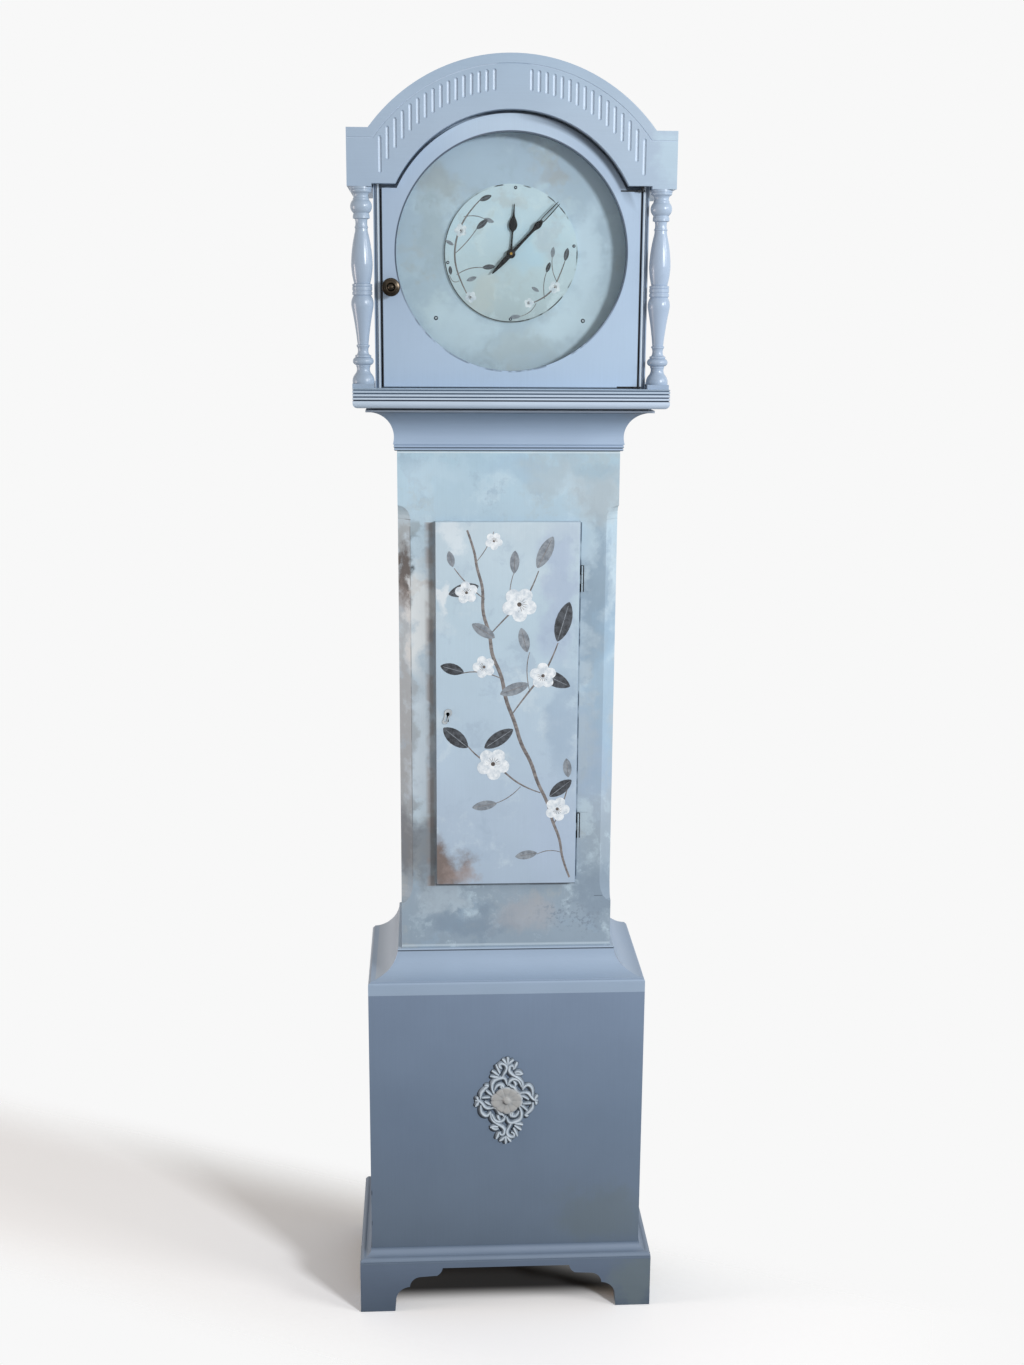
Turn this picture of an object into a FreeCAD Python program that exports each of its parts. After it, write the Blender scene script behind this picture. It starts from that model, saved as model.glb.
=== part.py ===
import FreeCAD, Part
import math
import os

os.makedirs("parts", exist_ok=True)
V = FreeCAD.Vector

# A painted longcase clock: base on bracket feet, trunk with a door, and a hood that slides off
# forwards. Millimetres, X to the clock's left-hand end seen from behind (right in front view),
# Y to the back, Z up. The origin is the middle of the floor area that the clock takes up.

# Heights of the storeys, from the floor up
feet_height = 83.0
base_height = 453.0
waist_height = 63.0
trunk_height = 767.0
throat_height = 64.0
rail_height = 27.0
frieze_height = 72.0
arch_rise = 97.0

# Widths: the frieze is the widest storey of the hood, and each other storey steps from it
frieze_width = 451.0
frieze_overhang = 35.0
trunk_step = 28.5
base_step = 52.0

# The dial opening in the hood door is as wide as the door allows, and gives the hood its height
hood_board = 9.5
door_side_gap = 1.7
hood_door_stile = 19.3
dial_foot = 24.0
dial_head = 70.0

# Depths, each step measured back or forward from the piece named with it
total_depth = 270.0
trunk_setback = 74.0
base_forward = 38.0
frieze_setback = 19.0
door_recess = 14.0
dial_recess = 23.0

# Boards and general clearances
carcase_board = 15.0
front_board = 18.0
back_board = 12.0
shadow_gap = 0.5
fit_gap = 0.05
free_gap = 0.3
overrun = 5.0

# Levels and planes worked out from the sizes above
frieze_half = frieze_width / 2
hood_half = frieze_half - frieze_overhang
trunk_half = hood_half - trunk_step
base_half = trunk_half + base_step
hood_door_half = hood_half - hood_board - door_side_gap
dial_opening = hood_door_half - hood_door_stile
opening_height = 2 * dial_opening + dial_foot - dial_head
base_top = feet_height + base_height
trunk_low = base_top + waist_height
trunk_top = trunk_low + trunk_height
hood_low = trunk_top + throat_height
rail_top = hood_low + rail_height
frieze_low = rail_top + opening_height
shoulder = frieze_low + frieze_height
arch_top = shoulder + arch_rise
back = total_depth / 2
rail_front = -total_depth / 2
trunk_front = rail_front + trunk_setback
base_front_y = trunk_front - base_forward
frieze_front = rail_front + frieze_setback
door_front = frieze_front + door_recess
dial_front = door_front + dial_recess
dial_centre = rail_top + dial_foot + dial_opening
backboard_front = back - back_board
hood_back = backboard_front - shadow_gap


def save(name, *shapes):
    """Write one node; several shapes stay separate solids."""
    solids = [solid for shape in shapes for solid in shape.Solids]
    shape = solids[0] if len(solids) == 1 else Part.Compound(solids)
    shape.exportStep("parts/" + name + ".step")


def box(x0, x1, y0, y1, z0, z1):
    return Part.makeBox(x1 - x0, y1 - y0, z1 - z0, V(x0, y0, z0))


def rod_x(y, z, radius, x0, x1):
    return Part.makeCylinder(radius, x1 - x0, V(x0, y, z), V(1, 0, 0))


def rod_y(x, z, radius, y0, y1):
    return Part.makeCylinder(radius, y1 - y0, V(x, y0, z), V(0, 1, 0))


def rod_z(x, y, radius, z0, z1):
    return Part.makeCylinder(radius, z1 - z0, V(x, y, z0), V(0, 0, 1))


def mirrored(shape):
    return shape.mirror(V(0, 0, 0), V(1, 0, 0))


def face_of(steps, place, spun=False):
    """Closed outline. A step of one point is a line to it, a step of two is an arc by way of the first."""
    edges = []
    here = steps[0]
    for step in steps[1:]:
        if isinstance(step[0], tuple):
            middle, end = step
            arc = Part.Arc(place(*here), place(*middle), place(*end))
            edges.append(arc.toBSpline().toShape() if spun else arc.toShape())
        else:
            end = step
            edges.append(Part.LineSegment(place(*here), place(*end)).toShape())
        here = end
    if here != steps[0]:
        edges.append(Part.LineSegment(place(*here), place(*steps[0])).toShape())
    return Part.Face(Part.Wire(edges))


def front_shape(steps, y0, y1):
    """An outline in X and Z, from y0 back to y1."""
    return face_of(steps, lambda x, z: V(x, y0, z)).extrude(V(0, y1 - y0, 0))


def side_shape(steps, x0, x1):
    """An outline in Y and Z, from x0 to x1."""
    return face_of(steps, lambda y, z: V(x0, y, z)).extrude(V(x1 - x0, 0, 0))


def plan_shape(steps, z0, z1):
    """An outline in X and Y, from z0 up to z1."""
    return face_of(steps, lambda x, y: V(x, y, z0)).extrude(V(0, 0, z1 - z0))


def turned(steps, x, y, low, radius, height):
    """A turning about an upright axis; the outline is (radius, height) in shares."""
    face = face_of(steps, lambda r, h: V(x + r * radius, y, low + h * height), True)
    return face.revolve(V(x, y, low), V(0, 0, 1), 360)


def turned_forward(steps, x, z, front, radius, length):
    """A turning about a level axis that points out of the front; the outline is in shares."""
    face = face_of(steps, lambda r, h: V(x + r * radius, front - h * length, z), True)
    return face.revolve(V(x, front, z), V(0, 1, 0), 360)


def moulding(profile_shares, half, front, out_side, out_front, low, height, end):
    """Front length and two mitred side lengths; the profile is (projection, height) in shares."""
    def mitre(share):
        return (half + share * out_side, front - share * out_front)
    before, beyond = mitre(-0.5), mitre(1.5)
    front_plan = [(-before[0], before[1]), (-beyond[0], beyond[1]), beyond, before]
    side_plan = [before, beyond, (beyond[0], end + overrun), (before[0], end + overrun)]
    along_x = face_of(profile_shares, lambda d, h: V(-beyond[0], front - d * out_front, low + h * height))
    along_y = face_of(profile_shares, lambda d, h: V(half + d * out_side, beyond[1], low + h * height))
    front_length = along_x.extrude(V(2 * beyond[0], 0, 0))
    side_length = along_y.extrude(V(0, end - beyond[1], 0))
    front_length = front_length.common(plan_shape(front_plan, low - overrun, low + height + overrun))
    side_length = side_length.common(plan_shape(side_plan, low - overrun, low + height + overrun))
    return [front_length, side_length, mirrored(side_length)]


def arch_radius(half_chord, rise):
    return (half_chord ** 2 + rise ** 2) / (2 * rise)


def arch_point(radius, centre, x):
    return (x, centre + math.sqrt(radius ** 2 - x ** 2))


# Feet: a front bracket board and two side ones, mitred work that carries the base box
bracket_board = 20.0
plinth_out = 18.3
foot_width = 55.0
foot_scroll = 76.0
side_scroll = 55.0
apron_drop = 8.0
bracket_half = base_half + plinth_out
bracket_front = base_front_y - plinth_out
# (along the foot's scroll, height in the feet) from the foot's inner toe up to the apron
bracket_shares = [(0.0, 0.0), (0.02, 0.24), ((0.10, 0.47), (0.31, 0.57)), ((0.37, 0.72), (0.53, 0.80)),
                  (0.88, 0.82), ((0.95, 0.88), (1.0, 1.0))]


def bracket_steps(outer_low, outer_high, width, scroll):
    """The bracket board's outline between two outer ends, with a scrolled foot at each."""
    apron = feet_height - apron_drop

    def placed(share, end, sense):
        return (end + sense * (width + share[0] * scroll), share[1] * apron)

    def walk(end, sense):
        path = []
        for step in bracket_shares:
            if isinstance(step[0], tuple):
                path.append(tuple(placed(share, end, sense) for share in step))
            else:
                path.append(placed(step, end, sense))
        return path

    rising = walk(outer_low, 1)
    falling = []
    path = walk(outer_high, -1)
    here = path[0]
    for step in path[1:]:
        if isinstance(step[0], tuple):
            falling.insert(0, (step[0], here))
            here = step[1]
        else:
            falling.insert(0, here)
            here = step
    return ([(outer_low, feet_height), (outer_low, 0)] + rising + [here] + falling
            + [(outer_high, 0), (outer_high, feet_height)])


save("front_bracket_feet", front_shape(bracket_steps(-bracket_half, bracket_half, foot_width, foot_scroll),
                                       bracket_front, bracket_front + bracket_board))
side_bracket = side_shape(bracket_steps(bracket_front + bracket_board, back, foot_width - bracket_board,
                                        side_scroll),
                          bracket_half - bracket_board, bracket_half)
save("side_bracket_feet", side_bracket, mirrored(side_bracket))

# Glue blocks behind the feet, under the floor
block_side = 30.0
block_lift = 3.0
block_out = bracket_half - bracket_board
block_front = bracket_front + bracket_board
glue_block = box(block_out - block_side, block_out, block_front, block_front + block_side,
                 block_lift, feet_height)
rear_block = box(block_out - block_side, block_out, backboard_front - block_side, backboard_front,
                 block_lift, feet_height)
save("glue_blocks", glue_block, mirrored(glue_block), rear_block, mirrored(rear_block))

# Base box
base_front_back = base_front_y + front_board
base_side_inner = base_half - carcase_board
save("base_front", box(-base_half, base_half, base_front_y, base_front_back, feet_height, base_top))
base_side = box(base_side_inner, base_half, base_front_back, back, feet_height, base_top)
save("base_sides", base_side, mirrored(base_side))
save("base_floor", box(-base_side_inner, base_side_inner, base_front_back, backboard_front,
                       feet_height, feet_height + back_board))

# Plinth moulding: hollow, then a round nose over a square edge
plinth_height = 20.0
plinth_shares = [(0.0, 1.0), (0.08, 1.0), ((0.2, 0.62), (0.55, 0.46)), ((0.86, 0.42), (1.0, 0.24)),
                 (0.93, 0.19), (1.0, 0.15), (1.0, 0.0), (0.0, 0.0)]
save("plinth_moulding", *moulding(plinth_shares, base_half, base_front_y, plinth_out, plinth_out,
                                  feet_height, plinth_height, back))

# Waist moulding: a large hollow from the trunk out to the base, under a small bead
waist_shares = [(0.0, 1.0), (0.10, 1.0), ((0.135, 0.975), (0.10, 0.95)), (0.13, 0.93),
                ((0.39, 0.53), (0.93, 0.35)), (0.93, 0.33), ((0.98, 0.305), (1.0, 0.26)), (1.0, 0.0),
                (0.0, 0.0)]
save("waist_moulding", *moulding(waist_shares, trunk_half, trunk_front, base_half - trunk_half,
                                 base_forward, base_top, waist_height, back))

# Trunk sides run down into the base and up into the hood, where their cheeks hold the seat board
trunk_foot = 36.0
cheek_front = 14.0
cheek_back = 81.0
seat_board = 16.0
arbor_rise = 91.0
seat_top = dial_centre - arbor_rise
seat_low = seat_top - seat_board
frame_back = trunk_front + front_board
trunk_inner = trunk_half - carcase_board
trunk_side = side_shape([(frame_back, base_top - trunk_foot), (backboard_front, base_top - trunk_foot),
                         (backboard_front, base_top), (back, base_top), (back, hood_low),
                         (frame_back + cheek_back, hood_low), (frame_back + cheek_back, seat_low),
                         (frame_back - cheek_front, seat_low), (frame_back - cheek_front, hood_low),
                         (frame_back, hood_low)], trunk_inner, trunk_half)
save("trunk_side_right", trunk_side)
save("trunk_side_left", mirrored(trunk_side))

# Trunk door opening, lipped door and its place in the front
door_foot = 107.0
door_head = 102.0
lock_stile = 54.0
hinge_stile = 57.0
door_low = trunk_low + door_foot
door_height = trunk_height - door_foot - door_head
door_left = lock_stile - trunk_half
door_right = trunk_half - hinge_stile
door_lip = 8.0
lip_board = 12.0
open_left = door_left + door_lip
open_right = door_right - door_lip
open_low = door_low + door_lip
door_top = door_low + door_height
open_top = door_top - door_lip

# Canted corners of the trunk, with a curved stop at each end
cant = 18.0
cant_foot = 109.0
cant_head = 99.0
cant_low = trunk_low + cant_foot
cant_top = trunk_top - cant_head
stop_length = 20.0
low_stop_length = 36.0
stop_shares = [(0.0, 1.0), (0.25, 0.97), (0.5, 0.87), (0.75, 0.66), (0.92, 0.38), (1.0, 0.0)]


def flat_face(points):
    return Part.Face(Part.makePolygon(points + points[:1]))


def cant_cutter():
    """The wood that the plane takes off a corner, thinning out along both stops."""
    levels = [(cant_low - along * low_stop_length, share * cant) for along, share in stop_shares][::-1]
    levels += [(cant_top + along * stop_length, share * cant) for along, share in stop_shares]
    before = [V(trunk_half - depth - overrun, trunk_front - overrun, z) for z, depth in levels]
    behind = [V(trunk_half + overrun, trunk_front + depth + overrun, z) for z, depth in levels]
    low = V(trunk_half + overrun, trunk_front - overrun, levels[0][0])
    high = V(trunk_half + overrun, trunk_front - overrun, levels[-1][0])
    faces = [flat_face([low, high] + before[::-1]), flat_face([low, high] + behind[::-1]),
             flat_face([low, before[0], behind[0]]), flat_face([high, before[-1], behind[-1]])]
    for i in range(len(levels) - 1):
        faces.append(flat_face([before[i], before[i + 1], behind[i + 1], behind[i]]))
    solid = Part.makeSolid(Part.makeShell(faces))
    return solid if solid.Volume > 0 else solid.reversed()


# The lock: a case behind the door and a bolt that slides into the left stile
lock_rise = 270.0
keyhole_inset = 18.0
lock_level = door_low + lock_rise
keyhole_x = door_left + keyhole_inset
lock_width = 40.0
lock_height = 62.0
lock_depth = 12.0
lock_inset = 4.0
bolt_height = 18.0
bolt_depth = 6.0
bolt_throw = 8.0
bolt_back = 26.0
bolt_inset = 1.5
lip_back = trunk_front - free_gap
lip_front = lip_back - lip_board
door_inner = trunk_front + door_lip
lock_left = open_left + lock_inset
bolt_y0 = door_inner + bolt_inset
bolt_low = lock_level - bolt_height / 2

# The butt hinges of the trunk door: knuckles in the corner between the lip and the frame
knuckle_radius = 3.2
hinge_pin_radius = 1.2
hinge_leaf = 1.5
hinge_leaf_width = 15.0
hinge_length = 39.0
low_hinge_rise = 91.0
top_hinge_drop = 85.0
knuckle_gap = 0.4
knuckle_out = 4.0
hinge_levels = [door_low + low_hinge_rise, door_top - top_hinge_drop]
hinge_x = door_right + knuckle_radius + knuckle_gap
hinge_y = trunk_front - knuckle_out
frame_leaf_end = hinge_x + hinge_leaf_width
hinge_share = 1 / 3


def frame_leaf_box(level):
    return box(hinge_x, frame_leaf_end, trunk_front - hinge_leaf / 2, trunk_front + hinge_leaf / 2,
               level - hinge_length / 2, level + hinge_length / 2)


def door_leaf_box(level):
    return box(door_right - hinge_leaf, door_right + hinge_leaf / 2, lip_front + hinge_leaf,
               lip_back - hinge_leaf,
               level - hinge_length / 2, level + hinge_length / 2)


# Trunk front: two stiles and two rails round the door opening
cutter = cant_cutter()
stile_right = box(open_right, trunk_half, trunk_front, frame_back, base_top - trunk_foot,
                  hood_low).cut(cutter)
for hinge_level in hinge_levels:
    stile_right = stile_right.cut(frame_leaf_box(hinge_level))
bolt_pocket = box(open_left - bolt_throw, open_left + overrun, bolt_y0 - free_gap,
                  bolt_y0 + bolt_depth + free_gap,
                  bolt_low - 2 * free_gap, bolt_low + bolt_height + 2 * free_gap)
stile_left = box(-trunk_half, open_left, trunk_front, frame_back, base_top - trunk_foot, hood_low)
stile_left = stile_left.cut(mirrored(cutter)).cut(bolt_pocket)
save("trunk_stiles", stile_left, stile_right)
save("trunk_rails",
     box(open_left, open_right, trunk_front, frame_back, base_top - trunk_foot, open_low),
     box(open_left, open_right, trunk_front, frame_back, open_top, hood_low))

# Throat moulding: astragal at the trunk, a deep hollow, a thin fillet, and a set-back rest for the hood
throat_out = 43.0
throat_shares = [(0.0, 0.0), (0.06, 0.0), ((0.098, 0.03), (0.06, 0.06)), ((0.112, 0.093), (0.08, 0.125)),
                 (0.13, 0.15), ((0.35, 0.72), (0.93, 0.89)), (1.0, 0.89), (1.0, 0.94), (0.80, 0.94),
                 (0.80, 1.0), (0.0, 1.0)]
save("throat_moulding", *moulding(throat_shares, trunk_half, trunk_front, throat_out, throat_out,
                                  trunk_top, throat_height, back))

# Backboard: one board, as wide as each storey allows, arched behind the hood
roof_over = 5.5
roof_spring = hood_half + roof_over
outer_radius = arch_radius(roof_spring, arch_rise)
outer_centre = arch_top - outer_radius
roof_board = 8.0
roof_clear = 8.5
back_radius = outer_radius - roof_board - roof_clear
back_top = arch_point(back_radius, outer_centre, 0)
back_corner = arch_point(back_radius, outer_centre, hood_half - roof_clear)
save("backboard", front_shape([
    (-base_side_inner, feet_height), (base_side_inner, feet_height), (base_side_inner, base_top),
    (trunk_inner, base_top), (trunk_inner, hood_low), (hood_half - roof_clear, hood_low),
    back_corner, (back_top, (-back_corner[0], back_corner[1])), (-hood_half + roof_clear, hood_low),
    (-trunk_inner, hood_low), (-trunk_inner, base_top), (-base_side_inner, base_top)],
    backboard_front, back))

# Applied ornament on the base: a pierced lozenge of scrolls with a petalled rosette
ornament_width = 104.0
ornament_height = 151.0
ornament_relief = 4.5
ornament_level = 357.0
rosette_width = 52.0
rosette_height = 48.0
rosette_relief = 5.5
boss_radius = 7.0
boss_relief = 8.0
pierce_radius = 4.4
quarter_shares = [(1.0, 0.0), ((0.88, 0.08), (0.84, 0.16)), ((0.81, 0.30), (0.66, 0.34)),
                  ((0.635, 0.475), (0.46, 0.50)), ((0.49, 0.63), (0.36, 0.70)),
                  ((0.35, 0.79), (0.20, 0.84)),
                  ((0.08, 0.90), (0.0, 1.0))]
pierce_shares = [(0.60, 0.0), (0.74, 0.18), (0.50, 0.27), (0.27, 0.42), (0.16, 0.62), (0.0, 0.76)]
petal_count = 10
petal_share = 0.86


def quarter_turned(shares, across, up):
    """The quarter's outline mirrored into another quarter, walked the same way round the lozenge."""
    points = [shares[0]] + [place for step in shares[1:] for place in step]
    points = [(across * a, up * b) for a, b in points]
    if across * up < 0:
        points = points[::-1]
    return [points[0]] + [(points[i], points[i + 1]) for i in range(1, len(points), 2)]


def ornament_place(a, b):
    return (a * ornament_width / 2, ornament_level + b * ornament_height / 2)


def rosette_place(turn, reach):
    return (reach * rosette_width / 2 * math.sin(turn),
            ornament_level + reach * rosette_height / 2 * math.cos(turn))


ornament_steps = [ornament_place(1.0, 0.0)]
for across, up in ((1, 1), (-1, 1), (-1, -1), (1, -1)):
    for middle, end in quarter_turned(quarter_shares, across, up)[1:]:
        ornament_steps.append((ornament_place(*middle), ornament_place(*end)))
ornament = front_shape(ornament_steps, base_front_y - ornament_relief, base_front_y)
for across, up in pierce_shares:
    for flip_x in ((1, -1) if across else (1,)):
        for flip_z in ((1, -1) if up else (1,)):
            hole_x, hole_z = ornament_place(across * flip_x, up * flip_z)
            ornament = ornament.cut(rod_y(hole_x, hole_z, pierce_radius, base_front_y - 2 * ornament_relief,
                                          base_front_y))
petal_turn = math.pi / petal_count
petal_steps = [rosette_place(-petal_turn, petal_share)]
for petal in range(petal_count):
    turn = 2 * petal * petal_turn
    end = petal_steps[0] if petal == petal_count - 1 else rosette_place(turn + petal_turn, petal_share)
    petal_steps.append((rosette_place(turn, 1.0), end))
rosette = front_shape(petal_steps, base_front_y - rosette_relief, base_front_y)
boss_shares = [(0.0, 0.0), (1.0, 0.0), (1.0, 0.78), ((0.92, 0.94), (0.66, 1.0)), (0.0, 1.0)]
boss = turned_forward(boss_shares, 0, ornament_level, base_front_y, boss_radius, boss_relief)
save("base_ornament", ornament.fuse(rosette).fuse(boss).removeSplitter())

# Trunk door: a board lipped over the front, cut for hinges, lock and keyhole
keyhole_radius = 3.0
keyhole_slot = 12.0
door_board = box(door_left, door_right, lip_front, lip_back, door_low, door_top)
door_core = box(open_left + free_gap * 5, open_right - free_gap * 5, lip_back, door_inner,
                open_low + free_gap * 5, open_top - free_gap * 5)
keyhole = rod_y(keyhole_x, lock_level, keyhole_radius, lip_front - overrun, door_inner + lock_depth / 4)
keyhole = keyhole.fuse(box(keyhole_x - keyhole_radius / 2, keyhole_x + keyhole_radius / 2,
                           lip_front - overrun,
                           door_inner + lock_depth / 4, lock_level - keyhole_slot, lock_level))
trunk_door = door_board.fuse(door_core).removeSplitter().cut(keyhole)
door_edge = 1.5
long_edges = [edge for edge in trunk_door.Edges
              if len(edge.Vertexes) == 2
              and abs(edge.Vertexes[0].Y - lip_front) + abs(edge.Vertexes[1].Y - lip_front) < fit_gap
              and edge.Length > door_right]
trunk_door = trunk_door.makeFillet(door_edge, long_edges)
for hinge_level in hinge_levels:
    trunk_door = trunk_door.cut(door_leaf_box(hinge_level))
save("trunk_door", trunk_door)

# Escutcheon: a thin keyhole plate that has swung askew on its pin
escutcheon_width = 11.0
escutcheon_height = 24.0
escutcheon_plate = 1.0
escutcheon_tilt = 20.0
plate_shares = [(-1.0, 0.35), ((0.0, 1.0), (1.0, 0.35)), ((0.62, -0.3), (0.75, -0.75)),
                ((0.0, -1.0), (-0.75, -0.75)), ((-0.62, -0.3), (-1.0, 0.35))]


def escutcheon_place(share):
    return (keyhole_x + share[0] * escutcheon_width / 2,
            lock_level - keyhole_slot / 3 + share[1] * escutcheon_height / 2)


plate_steps = [escutcheon_place(plate_shares[0])]
plate_steps += [(escutcheon_place(middle), escutcheon_place(end)) for middle, end in plate_shares[1:]]
escutcheon = front_shape(plate_steps, lip_front - escutcheon_plate, lip_front)
escutcheon = escutcheon.cut(keyhole)
escutcheon.rotate(V(keyhole_x, lip_front, lock_level), V(0, 1, 0), escutcheon_tilt)
save("escutcheon", escutcheon)

# Trunk door hinges: outer knuckles and pin on the frame, middle knuckle on the door
frame_leaves = []
door_leaves = []
for level in hinge_levels:
    low = level - hinge_length / 2
    third = hinge_length * hinge_share
    barrel = rod_z(hinge_x, hinge_y, knuckle_radius, low, low + hinge_length)
    middle = rod_z(hinge_x, hinge_y, knuckle_radius + overrun, low + third - free_gap,
                   low + 2 * third + free_gap)
    middle_leaf = box(hinge_x - overrun, hinge_x + overrun, hinge_y - overrun, hinge_y + overrun,
                      low + third - free_gap, low + 2 * third + free_gap)
    pin = rod_z(hinge_x, hinge_y, hinge_pin_radius, low, low + hinge_length)
    web = box(hinge_x - hinge_leaf / 2, hinge_x + hinge_leaf / 2, hinge_y, trunk_front,
              low, low + hinge_length)
    frame_leaf = barrel.fuse(web).cut(middle_leaf).fuse(frame_leaf_box(level)).fuse(pin)
    frame_leaves.append(frame_leaf.removeSplitter())
    knuckle = rod_z(hinge_x, hinge_y, knuckle_radius, low + third, low + 2 * third)
    leaf_plate = door_leaf_box(level)
    side_knuckles = box(door_right, door_right + overrun, lip_front, lip_back, low, low + third + free_gap)
    top_knuckles = box(door_right, door_right + overrun, lip_front, lip_back, low + 2 * third - free_gap,
                       low + hinge_length)
    leaf_plate = leaf_plate.cut(side_knuckles).cut(top_knuckles)
    door_leaf = knuckle.fuse(leaf_plate).cut(rod_z(hinge_x, hinge_y, hinge_pin_radius + fit_gap, low,
                                                    low + hinge_length))
    door_leaves.append(door_leaf.removeSplitter())
save("trunk_hinge_frame_leaves", *frame_leaves)
save("trunk_hinge_door_leaves", *door_leaves)

# Lock case and bolt
lock_case = box(lock_left, lock_left + lock_width, door_inner, door_inner + lock_depth,
                lock_level - lock_height / 2, lock_level + lock_height / 2)
bolt_way = box(lock_left - overrun, lock_left + bolt_back + bolt_throw, bolt_y0 - fit_gap,
               bolt_y0 + bolt_depth + fit_gap, bolt_low - fit_gap, bolt_low + bolt_height + fit_gap)
lock_case = lock_case.cut(bolt_way).cut(keyhole)
save("trunk_lock", lock_case)
save("lock_bolt", box(lock_left - free_gap, lock_left + bolt_back, bolt_y0, bolt_y0 + bolt_depth,
                      bolt_low, bolt_low + bolt_height))

# Hood rails: reeded moulding round the foot of the hood
rail_step = 4.0
rail_clear = 4.5
hood_rail_half = frieze_half - rail_step
rail_inner = trunk_half + rail_clear
rail_width = hood_rail_half - rail_inner
reed_shares = [0.93, 0.76, 0.58, 0.41]
reed_half_share = 0.035
reed_depth_share = 0.035
nose_radius = 7.0
nose_out = nose_radius / rail_width
nose_up = nose_radius / rail_height
nose_turn = 1 - math.sqrt(0.5)
rail_profile_shares = [(0.0, 0.0), (1.0 - nose_out, 0.0),
                       ((1.0 - nose_out * nose_turn, nose_up * nose_turn), (1.0, nose_up))]
for reed_level in sorted(reed_shares):
    rail_profile_shares += [(1.0, reed_level - reed_half_share), (1.0 - reed_depth_share, reed_level),
                            (1.0, reed_level + reed_half_share)]
rail_profile_shares += [(1.0, 1.0), (0.0, 1.0)]
rail_lengths = moulding(rail_profile_shares, rail_inner, rail_front + rail_width, rail_width, rail_width,
                        hood_low, rail_height, hood_back)

# Hood door and the two pivots on which it turns, above and below its right edge
door_foot_gap = 1.0
shoulder_gap = 5.0
arch_gap = 4.0
hood_door_board = 16.0
glass_board = 3.0
glass_lap = 5.0
glass_back = 5.5
pivot_radius = 2.0
pivot_plate = 2.0
pivot_ear = 3.5
pivot_depth = 9.0
pivot_arm = 30.0
pivot_out = 0.7
pivot_forward = 3.0
arch_step = 30.5
pivot_x = hood_door_half + pivot_out
pivot_y = door_front - pivot_forward
opening_half = hood_half - arch_step
opening_rise = 98.0
opening_radius = arch_radius(opening_half, opening_rise)
opening_top = frieze_low + opening_rise
opening_centre = opening_top - opening_radius
door_arch = opening_radius - arch_gap
hood_door_low = rail_top + door_foot_gap
hood_door_top = frieze_low - shoulder_gap
door_spring = math.sqrt(door_arch ** 2 - (hood_door_top - opening_centre) ** 2)
hood_door_back = door_front + hood_door_board
glass_y1 = hood_door_back - glass_back
glass_y0 = glass_y1 - glass_board
hood_door = front_shape([
    (-hood_door_half, hood_door_low), (hood_door_half, hood_door_low), (hood_door_half, hood_door_top),
    (door_spring, hood_door_top), ((0, opening_centre + door_arch), (-door_spring, hood_door_top)),
    (-hood_door_half, hood_door_top)], door_front, hood_door_back)
hood_door = hood_door.cut(rod_y(0, dial_centre, dial_opening, door_front - overrun, hood_door_back))
hood_door = hood_door.cut(rod_y(0, dial_centre, dial_opening + glass_lap, glass_y0, hood_door_back))


def pivot(plate_low, pin_low, pin_high):
    """A plate let into the door's edge, its ear and the pin in the ear."""
    arm = box(pivot_x - pivot_arm, pivot_x, pivot_y - pivot_ear, pivot_y + 2 * pivot_ear + pivot_radius,
              plate_low, plate_low + pivot_plate)
    arm = arm.common(box(pivot_x - pivot_arm, hood_door_half, door_front, hood_door_back,
                         plate_low - overrun, plate_low + overrun))
    neck = box(pivot_x - 2 * pivot_ear, pivot_x, pivot_y - pivot_radius, door_front + pivot_radius,
               plate_low, plate_low + pivot_plate)
    ear = rod_z(pivot_x, pivot_y, pivot_ear, plate_low, plate_low + pivot_plate)
    pin = rod_z(pivot_x, pivot_y, pivot_radius, pin_low, pin_high)
    return arm.fuse(neck).fuse(ear).fuse(pin).removeSplitter()


low_pivot = pivot(hood_door_low, rail_top - pivot_depth, hood_door_low + pivot_plate)
top_pivot = pivot(hood_door_top - pivot_plate, hood_door_top - pivot_plate, frieze_low + pivot_depth)
for plate in (low_pivot, top_pivot):
    hood_door = hood_door.cut(plate)
save("hood_door", hood_door)
save("hood_door_pivots", low_pivot, top_pivot)
save("hood_glass", rod_y(0, dial_centre, dial_opening + glass_lap - free_gap, glass_y0, glass_y1))
pivot_hole = pivot_radius + fit_gap
low_hole = rod_z(pivot_x, pivot_y, pivot_hole, rail_top - pivot_depth - door_foot_gap, rail_top + overrun)
save("hood_base_rails", rail_lengths[0].cut(low_hole), rail_lengths[1], rail_lengths[2])

# Knob on the left of the hood door: a turned foot, neck and ringed head
knob_inset = 12.3
knob_drop = 47.0
knob_x = knob_inset - hood_door_half
knob_level = dial_centre - knob_drop
knob_radius = 12.5
knob_length = 22.0
knob_shares = [(0.0, 0.0), (0.62, 0.0), ((0.70, 0.05), (0.62, 0.10)), ((0.34, 0.2), (0.36, 0.38)),
               ((0.62, 0.44), (0.92, 0.52)), ((1.0, 0.62), (0.92, 0.72)), (0.74, 0.76),
               ((0.70, 0.82), (0.60, 0.84)),
               ((0.50, 0.85), (0.40, 0.80)), ((0.285, 0.933), (0.0, 1.0))]
save("hood_door_knob", turned_forward(knob_shares, knob_x, knob_level, door_front, knob_radius,
                                      knob_length))

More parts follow.
